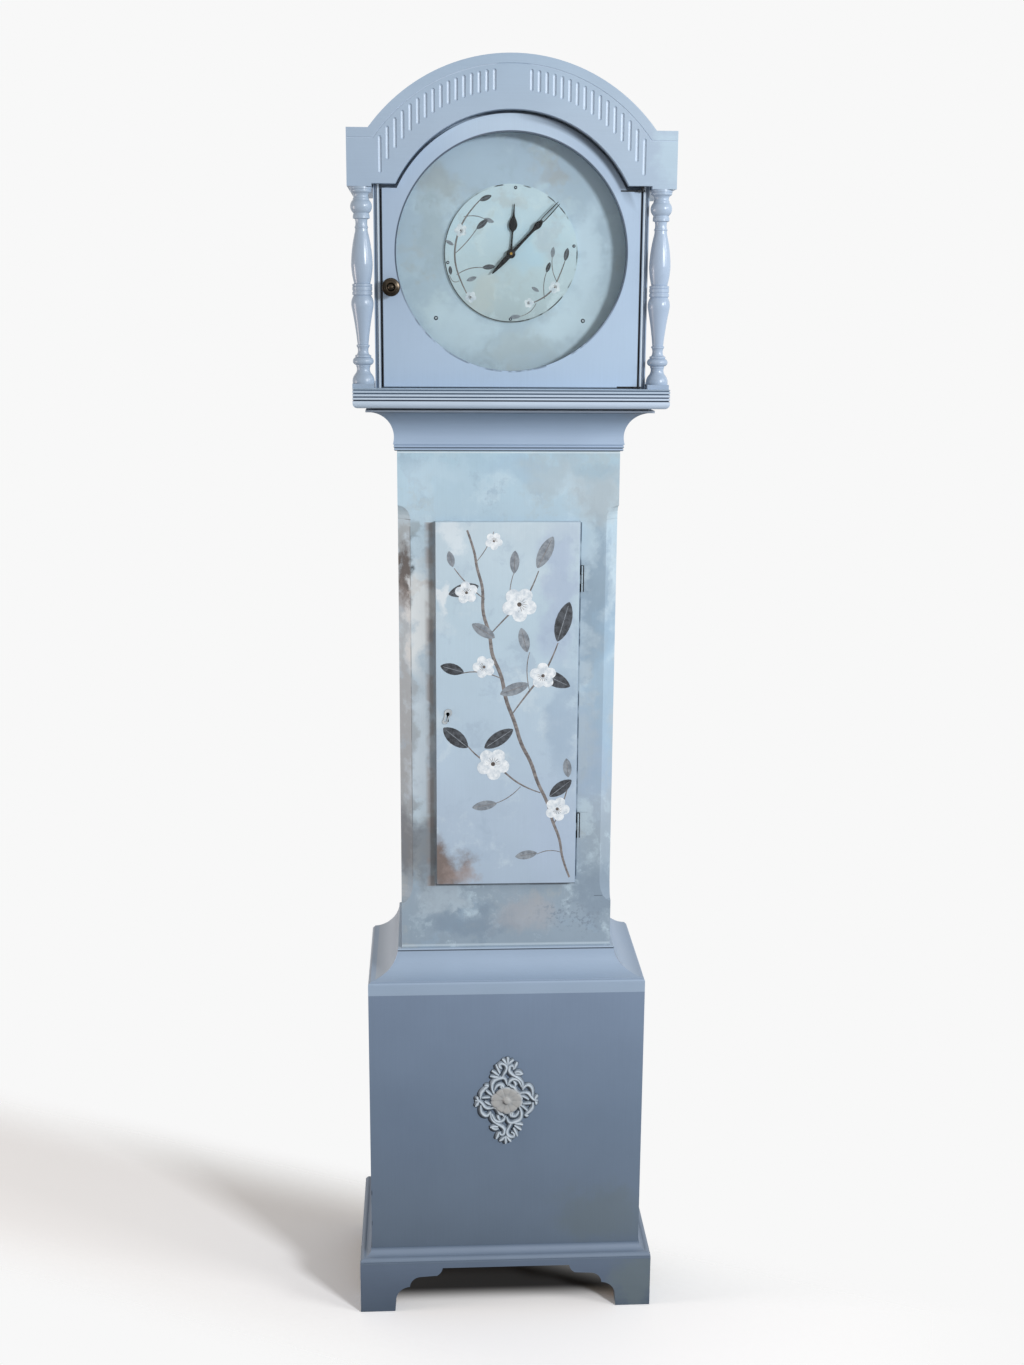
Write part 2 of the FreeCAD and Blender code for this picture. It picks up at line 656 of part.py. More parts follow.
# Frieze: arched front board with end blocks, an incised line and upright flutes
frieze_board = 30.0
block_drop = 4.0
line_inset = 12.5
line_width = 1.2
line_depth = 0.8
flute_width = 5.0
flute_depth = 2.2
flute_count = 16
flute_start = 25.0
flute_end = 16.0
flute_pitch = (roof_spring - flute_start - flute_end) / (flute_count - 1)
flute_head = 19.0
flute_foot = 24.0
frieze_back = frieze_front + frieze_board
block_inner = hood_half + 3 * shadow_gap
frieze = front_shape([
    (-frieze_half, frieze_low - block_drop), (-block_inner, frieze_low - block_drop),
    (-block_inner, frieze_low),
    (-opening_half, frieze_low), ((0, opening_top), (opening_half, frieze_low)), (block_inner, frieze_low),
    (block_inner, frieze_low - block_drop), (frieze_half, frieze_low - block_drop), (frieze_half, shoulder),
    (roof_spring, shoulder), ((0, arch_top), (-roof_spring, shoulder)), (-frieze_half, shoulder)],
    frieze_front, frieze_back)
line_radius = outer_radius - line_inset
line_level = shoulder - line_inset
line_turn = math.sqrt(line_radius ** 2 - (line_level - outer_centre) ** 2)
groove_ring = rod_y(0, outer_centre, line_radius, frieze_front, frieze_front + line_depth)
groove_ring = groove_ring.cut(rod_y(0, outer_centre, line_radius - line_width, frieze_front - overrun,
                                    frieze_front + overrun))
groove_ring = groove_ring.common(box(-line_turn, line_turn, frieze_front, frieze_front + line_depth,
                                     line_level, arch_top))
shoulder_line = box(line_turn - line_width, frieze_half, frieze_front, frieze_front + line_depth,
                    line_level - line_width, line_level)
frieze = frieze.cut(groove_ring).cut(shoulder_line).cut(mirrored(shoulder_line))
for count in range(flute_count):
    flute_x = flute_start + count * flute_pitch
    flute_top = arch_point(outer_radius - flute_head, outer_centre, flute_x)[1]
    flute_low = arch_point(opening_radius + flute_foot, opening_centre, flute_x)[1]
    half = flute_width / 2
    hollow_radius = arch_radius(half, flute_depth)
    hollow = rod_z(flute_x, frieze_front - hollow_radius + flute_depth, hollow_radius,
                   flute_low + half, flute_top - half)
    ends = []
    for level in (flute_low + half, flute_top - half):
        ends.append(Part.makeSphere(hollow_radius, V(flute_x, frieze_front - hollow_radius + flute_depth,
                                                     level)))
    flute = hollow.fuse(ends[0]).fuse(ends[1])
    frieze = frieze.cut(flute).cut(mirrored(flute))
top_hole = rod_z(pivot_x, pivot_y, pivot_hole, frieze_low - overrun,
                 frieze_low + pivot_depth + door_foot_gap)
frieze = frieze.cut(top_hole)
save("hood_frieze", frieze)

# Frieze returns along the sides, roof boards bent over the arch, sides and mask
frieze_return = box(hood_half, frieze_half, frieze_back, hood_back, frieze_low - block_drop, shoulder)
save("frieze_returns", frieze_return, mirrored(frieze_return))
roof_inner = outer_radius - roof_board
inner_spring = math.sqrt(roof_inner ** 2 - (shoulder - outer_centre) ** 2)
save("hood_roof", front_shape([
    (-roof_spring, shoulder), (-inner_spring, shoulder),
    ((0, outer_centre + roof_inner), (inner_spring, shoulder)), (roof_spring, shoulder),
    ((0, arch_top), (-roof_spring, shoulder))], frieze_back, hood_back))
side_inner = hood_half - hood_board
side_setback = 3.0
hood_side_front = door_front + side_setback
stile_groove = 1.5
hood_side = box(side_inner, hood_half, hood_side_front, hood_back, rail_top, shoulder)
frieze_space = box(side_inner - overrun, hood_half + overrun, frieze_front, frieze_back, frieze_low,
                   shoulder + overrun)
bead_groove = box(side_inner + hood_board / 2 - stile_groove / 2,
                  side_inner + hood_board / 2 + stile_groove / 2,
                  hood_side_front, hood_side_front + 2 * stile_groove, rail_top, frieze_low)
hood_side = hood_side.cut(frieze_space).cut(bead_groove)
save("hood_side_right", hood_side)
save("hood_side_left", mirrored(hood_side))
mask_board = 5.0
mask_gap = 1.0
mask_lap = 20.0
mask_front = frieze_back + mask_gap
mask_radius = opening_radius + mask_lap
mask_spring = arch_point(mask_radius, opening_centre, side_inner)
hood_mask = front_shape([
    (-side_inner, rail_top), (side_inner, rail_top), mask_spring,
    ((0, opening_centre + mask_radius), (-side_inner, mask_spring[1]))], mask_front,
    mask_front + mask_board)
hood_mask = hood_mask.cut(rod_y(0, dial_centre, dial_opening + glass_lap, mask_front - overrun,
                                mask_front + 2 * mask_board))
save("hood_mask", hood_mask)

# Runners on the trunk cheeks that keep the hood's rails down
runner_height = 10.0
runner_lap = 6.0
runner_width = rail_inner - trunk_half + runner_lap
runner = box(trunk_half, trunk_half + runner_width, frame_back - cheek_front, frame_back + cheek_back,
             rail_top + shadow_gap, rail_top + shadow_gap + runner_height)
save("hood_runners", runner, mirrored(runner))

# Turned columns at the hood's front corners
column_inset = 18.5
column_x = frieze_half - column_inset
column_radius = 15.2
column_y = (frieze_front + frieze_back) / 2
column_height = opening_height - block_drop
column_shares = [
    (0.0, 0.0), (1.0, 0.0), (1.0, 0.022), ((0.97, 0.05), (0.80, 0.068)), ((0.62, 0.085), (0.62, 0.106)),
    (0.66, 0.108), (0.66, 0.116), ((0.96, 0.135), (0.70, 0.155)), (0.74, 0.157), (0.74, 0.165),
    (0.56, 0.17),
    ((0.48, 0.19), (0.55, 0.208)), (0.60, 0.21), (0.60, 0.217), (0.50, 0.22), ((0.72, 0.32), (1.0, 0.41)),
    ((0.97, 0.445), (0.80, 0.466)), (0.91, 0.47), (0.91, 0.482), (0.86, 0.485), (0.86, 0.49), (0.91, 0.493),
    (0.91, 0.508), (0.86, 0.511), (0.91, 0.514), (0.91, 0.522), (0.74, 0.526), ((0.90, 0.57), (0.98, 0.62)),
    ((0.84, 0.71), (0.58, 0.782)), (0.56, 0.797), (0.61, 0.8), (0.61, 0.806), (0.56, 0.808),
    ((0.53, 0.825), (0.57, 0.842)), (0.76, 0.846), (0.76, 0.858), (0.70, 0.872),
    ((0.98, 0.905), (0.74, 0.936)),
    (0.74, 0.942), ((0.66, 0.956), (0.78, 0.97)), ((0.93, 0.976), (0.93, 0.986)), (1.0, 0.988), (1.0, 1.0),
    (0.0, 1.0)]
column = turned(column_shares, column_x, column_y, rail_top, column_radius, column_height)
block_half = column_radius
block_height = 6.0
column = column.fuse(box(column_x - block_half, column_x + block_half, column_y - block_half,
                         column_y + block_half,
                         rail_top, rail_top + block_height)).removeSplitter()
save("column_right", column)
save("column_left", mirrored(column))

# Movement: plates and pillars on the seat board
movement_recess = 32.0
plate_front = dial_front + movement_recess
plate_gap = 56.0
plate_thick = 2.5
plate_half = 60.0
plate_height = 180.0
plate_inner = plate_front + plate_thick
back_plate_front = plate_inner + plate_gap
back_plate_back = back_plate_front + plate_thick
pivot_thin = 1.5
staff_radius = 1.8
arbor_radius = 3.0
centre_x = 0.0
centre_z = dial_centre

# Wheel work: teeth and modules; centre distances follow from them
great_teeth = 96
centre_leaves = 8
great_module = 0.8
centre_teeth = 60
third_leaves = 8
centre_module = 0.75
third_teeth = 64
escape_leaves = 8
third_module = 0.65
escape_teeth = 30
escape_radius = 17.0
cannon_teeth = 24
minute_teeth = 72
motion_module = 0.6
minute_leaves = 18
hour_teeth = 72
wheel_thick = 2.0
third_offset = 14.0


def centre_distance(teeth, leaves, module):
    return (teeth + leaves) * module / 2


great_z = centre_z - centre_distance(great_teeth, centre_leaves, great_module)
third_distance = centre_distance(centre_teeth, third_leaves, centre_module)
third_x = third_offset
third_z = centre_z + math.sqrt(third_distance ** 2 - third_offset ** 2)
escape_distance = centre_distance(third_teeth, escape_leaves, third_module)
escape_z = third_z + math.sqrt(escape_distance ** 2 - third_offset ** 2)
motion_distance = centre_distance(cannon_teeth, minute_teeth, motion_module)
hour_module = 2 * motion_distance / (minute_leaves + hour_teeth)
minute_x = centre_x - motion_distance
anchor_z = escape_z + escape_radius * math.sqrt(2)

# Places of the wheels between the plates, from the front plate back
escape_place = 8.0
great_place = 14.0
third_place = 24.0
sprocket_place = 33.5
centre_place = 44.0
leaf_length = 8.0
leaf_lead = 3.0
escape_y = plate_inner + escape_place
great_y = plate_inner + great_place
third_y = plate_inner + third_place
sprocket_y = plate_inner + sprocket_place
centre_y = plate_inner + centre_place


def toothed(teeth, module, phase, x, z, y0, y1, tooth_share, tip_share):
    """A wheel or pinion blank with straight-sided teeth, thin enough to run free."""
    pitch = 2 * math.pi / teeth
    radius = teeth * module / 2
    half = tooth_share * pitch / 2
    root = radius - 1.5 * module
    tip = radius + tip_share * module
    points = []
    for tooth in range(teeth):
        middle = phase + tooth * pitch
        for reach, turn in ((root, -1.1), (radius, -1.0), (tip, -0.35), (tip, 0.35), (radius, 1.0),
                            (root, 1.1)):
            angle = middle + turn * half
            points.append(V(x + reach * math.sin(angle), y0, z + reach * math.cos(angle)))
    points.append(points[0])
    return Part.Face(Part.makePolygon(points)).extrude(V(0, y1 - y0, 0))


def wheel(teeth, module, phase, x, z, y):
    """A brass wheel with four crossings; the arbor goes through its hub."""
    blank = toothed(teeth, module, phase, x, z, y, y + wheel_thick, 0.42, 1.0)
    radius = teeth * module / 2
    window = rod_y(x, z, radius - 4.5 * module, y - overrun, y + wheel_thick + overrun)
    window = window.cut(rod_y(x, z, 2.2 * arbor_radius, y - overrun, y + wheel_thick + overrun))
    for across, up in ((arbor_radius / 2, radius), (radius, arbor_radius / 2)):
        window = window.cut(box(x - across, x + across, y - overrun, y + wheel_thick + overrun, z - up,
                                z + up))
    return blank.cut(window)


def pinion(leaves, module, phase, x, z, y0, y1):
    return toothed(leaves, module, phase, x, z, y0, y1, 0.32, 0.55)


def bearing(x, z):
    """Arbor between the plates with a thin pivot at each end."""
    body = rod_y(x, z, staff_radius, plate_inner + fit_gap, back_plate_front - fit_gap)
    return body.fuse(rod_y(x, z, pivot_thin, plate_front, back_plate_back))


def direction(x0, z0, x1, z1):
    return math.atan2(x1 - x0, z1 - z0)


def facing_gap(toward, leaves):
    """Phase that turns a gap between leaves back along the line of centres."""
    return toward + math.pi + math.pi / leaves


# Great wheel with its rope sprocket
sprocket_radius = 22.0
sprocket_width = 10.0
rope_radius = 2.5
great_to_centre = direction(0, great_z, centre_x, centre_z)
sprocket_shares = [(0.0, -0.5), (1.25, -0.5), (1.25, -0.42), (1.0, -0.27), (1.0, 0.27), (1.25, 0.42),
                   (1.25, 0.5), (0.0, 0.5)]
sprocket = turned_forward(sprocket_shares, 0, great_z, sprocket_y, sprocket_radius, sprocket_width)
great_wheel = wheel(great_teeth, great_module, great_to_centre, 0, great_z, great_y)
save("great_wheel", great_wheel.fuse(sprocket).fuse(bearing(0, great_z)).removeSplitter())

# Centre wheel: its arbor comes forward through the plate and dial to carry the hands
hand_arbor = 1.85
disc_board = 1.5
hand_thick = 1.2
hand_lift = 3.2
hand_space = 3.5
nut_length = 2.0
hour_hand_y = dial_front - disc_board - hand_lift
minute_hand_y = hour_hand_y - hand_space
arbor_tip = minute_hand_y - nut_length
centre_wheel = wheel(centre_teeth, centre_module, direction(centre_x, centre_z, third_x, third_z),
                     centre_x, centre_z, centre_y)
centre_pinion = pinion(centre_leaves, great_module, facing_gap(great_to_centre, centre_leaves),
                       centre_x, centre_z, great_y - leaf_lead, great_y - leaf_lead + leaf_length)
front_arbor = rod_y(centre_x, centre_z, hand_arbor, arbor_tip, plate_inner + hand_arbor / 2)
centre_body = bearing(centre_x, centre_z).cut(box(-overrun, overrun, plate_front - overrun, plate_inner,
                                                  centre_z - overrun, centre_z + overrun))
save("centre_wheel", centre_wheel.fuse(centre_pinion).fuse(centre_body).fuse(front_arbor).removeSplitter())

# Third wheel
third_to_escape = direction(third_x, third_z, 0, escape_z)
third_wheel = wheel(third_teeth, third_module, third_to_escape, third_x, third_z, third_y)
third_pinion = pinion(third_leaves, centre_module,
                      facing_gap(direction(centre_x, centre_z, third_x, third_z), third_leaves),
                      third_x, third_z, centre_y - leaf_lead, centre_y - leaf_lead + leaf_length)
save("third_wheel", third_wheel.fuse(third_pinion).fuse(bearing(third_x, third_z)).removeSplitter())

# Escape wheel
escape_module = 2 * escape_radius / (escape_teeth + 2)
escape_wheel = wheel(escape_teeth, escape_module, 0.0, 0, escape_z, escape_y)
escape_pinion = pinion(escape_leaves, third_module, facing_gap(third_to_escape, escape_leaves),
                       0, escape_z, third_y - leaf_lead, third_y - leaf_lead + leaf_length)
save("escape_wheel", escape_wheel.fuse(escape_pinion).fuse(bearing(0, escape_z)).removeSplitter())

# Anchor with its crutch, which reaches back to the pendulum rod
swing_gap = 1.3
anchor_ring = 19.5
anchor_outer = 23.0
pallet_angle = 7.5 * math.pi / escape_teeth
crutch_gap = 2.0
crutch_front = back_plate_back + crutch_gap
crutch_thick = 2.5
crutch_foot = 62.0
crutch_half = 2.0
pendulum_recess = 25.0
pendulum_y = back_plate_back + pendulum_recess
rod_radius = 3.0
prong = 2.5
anchor = rod_y(0, escape_z, anchor_outer, escape_y, escape_y + wheel_thick)
anchor = anchor.cut(rod_y(0, escape_z, anchor_ring, escape_y - overrun, escape_y + 2 * overrun))
pallet_reach = (anchor_outer + wheel_thick) * math.sin(pallet_angle)
anchor = anchor.common(box(-pallet_reach, pallet_reach, escape_y, escape_y + wheel_thick,
                           escape_z + anchor_ring * math.cos(pallet_angle), anchor_z + overrun))
for sense in (-1, 1):
    pallet = box(-wheel_thick / 2, wheel_thick / 2, escape_y, escape_y + wheel_thick,
                 escape_z + escape_radius + swing_gap, escape_z + anchor_outer)
    pallet.rotate(V(0, 0, escape_z), V(0, 1, 0), sense * math.degrees(pallet_angle) * 0.97)
    anchor = anchor.fuse(pallet)
anchor = anchor.fuse(rod_y(0, anchor_z, 1.4 * arbor_radius, escape_y, escape_y + wheel_thick))
anchor = anchor.fuse(rod_y(0, anchor_z, staff_radius, plate_inner + fit_gap, crutch_front + crutch_thick))
anchor = anchor.fuse(rod_y(0, anchor_z, pivot_thin, plate_front, crutch_front + 3 * crutch_thick))
crutch_low = anchor_z - crutch_foot
prong_inner = rod_radius + free_gap
anchor = anchor.fuse(box(-crutch_half, crutch_half, crutch_front, crutch_front + crutch_thick, crutch_low,
                         anchor_z))
anchor = anchor.fuse(box(-prong_inner - prong, prong_inner + prong, crutch_front,
                         crutch_front + crutch_thick,
                         crutch_low, crutch_low + 2 * prong))
for prong_x in (-prong_inner - prong, prong_inner):
    anchor = anchor.fuse(box(prong_x, prong_x + prong, crutch_front, pendulum_y + 2 * rod_radius,
                             crutch_low, crutch_low + 2 * prong))
save("anchor", anchor.removeSplitter())

# Motion work in front of the front plate: cannon pinion, minute wheel on its stud, hour wheel
cannon_lead = 7.0
hour_lead = 13.0
cannon_y = plate_front - cannon_lead
hour_y = plate_front - hour_lead
pipe_wall = 1.1
cannon_outer = hand_arbor + fit_gap + pipe_wall
hour_inner = cannon_outer + free_gap
hour_outer = hour_inner + pipe_wall
stud_radius = 2.0
stud_length = 18.0
cannon = toothed(cannon_teeth, motion_module, direction(centre_x, centre_z, minute_x, centre_z),
                 centre_x, centre_z, cannon_y, cannon_y + wheel_thick, 0.42, 1.0)
cannon = cannon.fuse(rod_y(centre_x, centre_z, cannon_outer, minute_hand_y, cannon_y + wheel_thick))
cannon = cannon.cut(rod_y(centre_x, centre_z, hand_arbor + fit_gap, arbor_tip, cannon_y + overrun))
save("cannon_pinion", cannon)
minute_to_centre = direction(minute_x, centre_z, centre_x, centre_z)
minute_wheel = toothed(minute_teeth, motion_module, minute_to_centre + math.pi / minute_teeth,
                       minute_x, centre_z, cannon_y, cannon_y + wheel_thick, 0.42, 1.0)
minute_wheel = minute_wheel.fuse(pinion(minute_leaves, hour_module,
                                        minute_to_centre + math.pi / minute_leaves,
                                        minute_x, centre_z, hour_y - wheel_thick / 2, cannon_y))
minute_wheel = minute_wheel.cut(rod_y(minute_x, centre_z, stud_radius + fit_gap, hour_y - overrun,
                                      plate_front))
save("minute_wheel", minute_wheel)
hour_wheel = toothed(hour_teeth, hour_module, direction(centre_x, centre_z, minute_x, centre_z),
                     centre_x, centre_z, hour_y, hour_y + wheel_thick, 0.42, 1.0)
hour_wheel = hour_wheel.fuse(rod_y(centre_x, centre_z, hour_outer, hour_hand_y, hour_y + wheel_thick))
hour_wheel = hour_wheel.cut(rod_y(centre_x, centre_z, hour_inner, hour_hand_y, hour_y + overrun))
save("hour_wheel", hour_wheel)

# Hands: a stem, a spade and a needle, cut from blued sheet
hour_share = 0.419
minute_share = 0.6
tail_share = 0.2375
hour_length = hour_share * dial_opening
hour_angle = 3.8
minute_length = minute_share * dial_opening
minute_tail = tail_share * dial_opening
minute_angle = 44.0
spade_half = 5.0
stem_half = 1.3
boss = 6.0
hour_spade_share = 0.66
minute_spade_share = 0.57


def hand(length, tail, spade_share, y, bore):
    """A hand pointing up: the spade sits at its share of the length."""
    spade = spade_share * length
    steps = [(-stem_half, centre_z), (-stem_half, centre_z + spade - 1.6 * spade_half),
             ((-spade_half, centre_z + spade - 0.4 * spade_half),
              (-0.45 * spade_half, centre_z + spade + spade_half)),
             (-0.45 * stem_half, centre_z + spade + 2.4 * spade_half), (0, centre_z + length),
             (0.45 * stem_half, centre_z + spade + 2.4 * spade_half),
             (0.45 * spade_half, centre_z + spade + spade_half),
             ((spade_half, centre_z + spade - 0.4 * spade_half),
              (stem_half, centre_z + spade - 1.6 * spade_half)),
             (stem_half, centre_z)]
    if tail:
        steps += [(1.6 * stem_half, centre_z - tail), (-1.6 * stem_half, centre_z - tail)]
    blade = front_shape(steps, y, y + hand_thick)
    blade = blade.fuse(rod_y(0, centre_z, boss, y, y + hand_thick)).removeSplitter()
    return blade.cut(rod_y(0, centre_z, bore, y - overrun, y + overrun))


hour_hand = hand(hour_length, 0, hour_spade_share, hour_hand_y, hour_outer + fit_gap)
hour_hand.rotate(V(0, 0, centre_z), V(0, 1, 0), hour_angle)
save("hour_hand", hour_hand)
minute_hand = hand(minute_length, minute_tail, minute_spade_share, minute_hand_y, cannon_outer + fit_gap)
minute_hand.rotate(V(0, 0, centre_z), V(0, 1, 0), minute_angle)
save("minute_hand", minute_hand)

# Plates, pillars and back cock
pillar_radius = 5.0
pillar_inset = 9.0
plate_low = seat_top
plate_top = plate_low + plate_height
arbors = [(0, great_z), (third_x, third_z), (0, escape_z), (0, anchor_z)]
feet_places = [(-plate_half + 2 * pillar_inset, plate_top - pillar_inset),
               (plate_half - 2 * pillar_inset, plate_top - pillar_inset), (0, plate_low + pillar_inset)]
foot_radius = 3.5
blank_plate = box(-plate_half, plate_half, plate_front, plate_inner, plate_low, plate_top)
front_plate = blank_plate
for arbor_x, arbor_z in arbors:
    front_plate = front_plate.cut(rod_y(arbor_x, arbor_z, pivot_thin + fit_gap, plate_front, plate_inner))
front_plate = front_plate.cut(rod_y(centre_x, centre_z, hand_arbor + fit_gap, plate_front, plate_inner))
front_plate = front_plate.fuse(rod_y(minute_x, centre_z, stud_radius, plate_front - stud_length,
                                     plate_front))
save("front_plate", front_plate)
back_plate = box(-plate_half, plate_half, back_plate_front, back_plate_back, plate_low, plate_top)
for arbor_x, arbor_z in arbors[:3] + [(centre_x, centre_z)]:
    back_plate = back_plate.cut(rod_y(arbor_x, arbor_z, pivot_thin + fit_gap, back_plate_front,
                                      back_plate_back))
back_plate = back_plate.cut(rod_y(0, anchor_z, 2 * arbor_radius, back_plate_front, back_plate_back))
save("back_plate", back_plate)
pillars = []
for pillar_x in (-plate_half + pillar_inset, plate_half - pillar_inset):
    for pillar_z in (plate_low + pillar_inset, plate_top - pillar_inset):
        pillars.append(rod_y(pillar_x, pillar_z, pillar_radius, plate_inner, back_plate_front))
save("movement_pillars", *pillars)
cock_half = 22.0
cock_pad = 8.0
cock_plate = 3.0
cock_drop = 8.0
cock_rise = 18.0
cock_low = anchor_z - cock_drop
cock_top = anchor_z + cock_rise
cock_reach = crutch_front + 2 * crutch_thick
cock = box(-cock_half, cock_half, cock_reach, cock_reach + cock_plate, cock_low, cock_top)
for pad_x in (-cock_half, cock_half - cock_pad):
    cock = cock.fuse(box(pad_x, pad_x + cock_pad, back_plate_back, cock_reach, cock_low, cock_top))
cock = cock.cut(rod_y(0, anchor_z, pivot_thin + fit_gap, cock_reach, cock_reach + cock_plate))
arm_half = 5.0
arm_rise = 7.0
arm_low = anchor_z + arm_rise
cock = cock.fuse(box(-arm_half, arm_half, cock_reach, pendulum_y + 2 * arm_half, arm_low, cock_top))
slit_half = 0.8
chops_drop = 1.0
spring_width = 8.0
chops_low = anchor_z - chops_drop
chops = box(-arm_half, arm_half, pendulum_y - arm_half, pendulum_y + arm_half, chops_low, arm_low)
chops = chops.cut(box(-slit_half, slit_half, pendulum_y - arm_half, pendulum_y + arm_half, chops_low,
                      arm_low))
save("back_cock", cock.fuse(chops).removeSplitter())

# Seat board on the cheeks, with holes for the two falls of the rope
seat_front = frame_back - cheek_front
seat_back = back_plate_back + 2 * plate_thick
fall_x = sprocket_radius + free_gap + rope_radius
fall_hole = 8.0
seat = box(-trunk_half, trunk_half, seat_front, seat_back, seat_low, seat_top)
for hole_x in (-fall_x, fall_x):
    seat = seat.cut(rod_z(hole_x, sprocket_y, fall_hole, seat_low, seat_top))
save("seat_board", seat)

# Dial: plate, raised disc, feet to the front plate, and domed screw heads
dial_lap = 12.0
disc_share = 0.5875
dial_board = 2.0
pipe_space = 2.0
dial_radius = dial_opening + dial_lap
disc_radius = disc_share * dial_opening
dial_hole = hour_outer + pipe_space
dial_back = dial_front + dial_board
dial_plate = rod_y(0, dial_centre, dial_radius, dial_front, dial_back)
save("dial_plate", dial_plate.cut(rod_y(0, dial_centre, dial_hole, dial_front, dial_back)))
dial_disc = rod_y(0, dial_centre, disc_radius, dial_front - disc_board, dial_front)
save("dial_disc", dial_disc.cut(rod_y(0, dial_centre, dial_hole, dial_front - disc_board, dial_front)))
head_radius = 3.0
head_rise = 1.3
small_head = 2.3
screw_inset = 23.0
disc_screw_inset = 5.0
outer_screw = dial_opening - screw_inset
disc_screw = disc_radius - disc_screw_inset
outer_screw_angles = [-130.0, 131.5]
disc_screw_angles = [3.9, -98.0, 82.8, 180.0]
head_shares = [(0.0, 0.0), (1.0, 0.0), ((0.7, 0.72), (0.0, 1.0))]
fixings = []
for angle in outer_screw_angles:
    turn = math.radians(angle)
    fixings.append(turned_forward(head_shares, outer_screw * math.sin(turn),
                                  dial_centre + outer_screw * math.cos(turn),
                                  dial_front, head_radius, head_rise))
for angle in disc_screw_angles:
    turn = math.radians(angle)
    fixings.append(turned_forward(head_shares, disc_screw * math.sin(turn),
                                  dial_centre + disc_screw * math.cos(turn),
                                  dial_front - disc_board, small_head, head_rise))
for foot_x, foot_z in feet_places:
    fixings.append(rod_y(foot_x, foot_z, foot_radius, dial_back, plate_front))
save("dial_fixings", *fixings)

# Pendulum: suspension spring, rod with rating nut, and a lens-shaped bob
pendulum_length = 994.0
bob_radius = 52.0
bob_thick = 26.0
spring_thick = 0.4
spring_head = 5.0
spring_drop = 20.0
rod_block = 12.0
nut_radius = 8.0
nut_height = 6.0
bob_z = anchor_z - pendulum_length
rod_low = bob_z - bob_radius - 3 * nut_height
pendulum = rod_z(0, pendulum_y, rod_radius, rod_low, anchor_z - spring_drop)
pendulum = pendulum.fuse(box(-rod_radius, rod_radius, pendulum_y - spring_width / 2,
                             pendulum_y + spring_width / 2,
                             anchor_z - spring_drop - rod_block, anchor_z - spring_drop))
pendulum = pendulum.fuse(box(-spring_thick / 2, spring_thick / 2, pendulum_y - spring_width / 2,
                             pendulum_y + spring_width / 2, anchor_z - spring_drop, anchor_z + spring_head))
nut_top = bob_z - bob_radius - free_gap
rating_nut = rod_z(0, pendulum_y, nut_radius, nut_top - nut_height, nut_top)
save("pendulum_rod", pendulum.fuse(rating_nut).removeSplitter())
bob_shares = [(0.0, -0.5), ((0.6, -0.36), (1.0, -0.06)), (1.0, 0.06), ((0.6, 0.36), (0.0, 0.5))]
bob = turned_forward(bob_shares, 0, bob_z, pendulum_y, bob_radius, bob_thick)
save("pendulum_bob", bob.cut(rod_z(0, pendulum_y, rod_radius + free_gap, bob_z - bob_radius - overrun,
                                   bob_z + bob_radius + overrun)))
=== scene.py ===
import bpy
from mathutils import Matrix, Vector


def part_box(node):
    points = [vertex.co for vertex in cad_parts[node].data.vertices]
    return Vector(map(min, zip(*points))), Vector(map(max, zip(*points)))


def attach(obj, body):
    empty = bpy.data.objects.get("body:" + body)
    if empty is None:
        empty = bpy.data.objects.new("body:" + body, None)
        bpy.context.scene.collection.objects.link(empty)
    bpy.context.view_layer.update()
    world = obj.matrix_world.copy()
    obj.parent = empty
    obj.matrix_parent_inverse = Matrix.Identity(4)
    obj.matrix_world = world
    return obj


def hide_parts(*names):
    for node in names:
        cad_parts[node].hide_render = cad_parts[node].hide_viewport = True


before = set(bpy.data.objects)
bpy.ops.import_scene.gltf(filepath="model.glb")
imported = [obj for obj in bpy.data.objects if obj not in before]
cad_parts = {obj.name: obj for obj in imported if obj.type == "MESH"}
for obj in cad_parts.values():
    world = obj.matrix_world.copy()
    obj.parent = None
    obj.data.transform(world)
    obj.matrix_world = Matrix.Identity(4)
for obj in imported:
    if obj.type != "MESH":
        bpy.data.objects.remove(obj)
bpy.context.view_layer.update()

# The room: a pale floor that fades into the backdrop, soft daylight from the upper right, and the
# camera where the photographer stood, a little to the left and looking down the clock.
import math
from functools import partial
import bmesh
import bpy
from mathutils import Matrix, Vector

scene = bpy.context.scene
scene.view_settings.view_transform = "Standard"


def linear(code):
    """An sRGB hex colour as linear red, green, blue and alpha."""
    parts = [int(code[i:i + 2], 16) / 255 for i in (0, 2, 4)]
    return [c / 12.92 if c <= 0.04045 else ((c + 0.055) / 1.055) ** 2.4 for c in parts] + [1.0]


def add_node(tree, kind, inputs=None, out=0, stops=(), **settings):
    """Adds a shader node with its settings, ramp stops and inputs, set or linked. Gives one output.

    A Mix node's colours are its inputs 6 and 7, and its output 2.
    """
    node = tree.nodes.new("ShaderNode" + kind)
    for key, value in settings.items():
        setattr(node, key, value)
    if stops:
        ramp = node.color_ramp.elements
        while len(ramp) < len(stops):
            ramp.new(0.5)
        for element, (place, code) in zip(ramp, stops):
            element.position, element.color = place, linear(code)
    for key, value in (inputs or {}).items():
        if isinstance(value, bpy.types.NodeSocket):
            tree.links.new(value, node.inputs[key])
        else:
            node.inputs[key].default_value = value
    return node.outputs[out] if len(node.outputs) else None


def emptied(owner):
    """Clears the nodes of a material or the world, and gives the function that adds one to them."""
    owner.use_nodes = True
    owner.node_tree.nodes.clear()
    return partial(add_node, owner.node_tree)


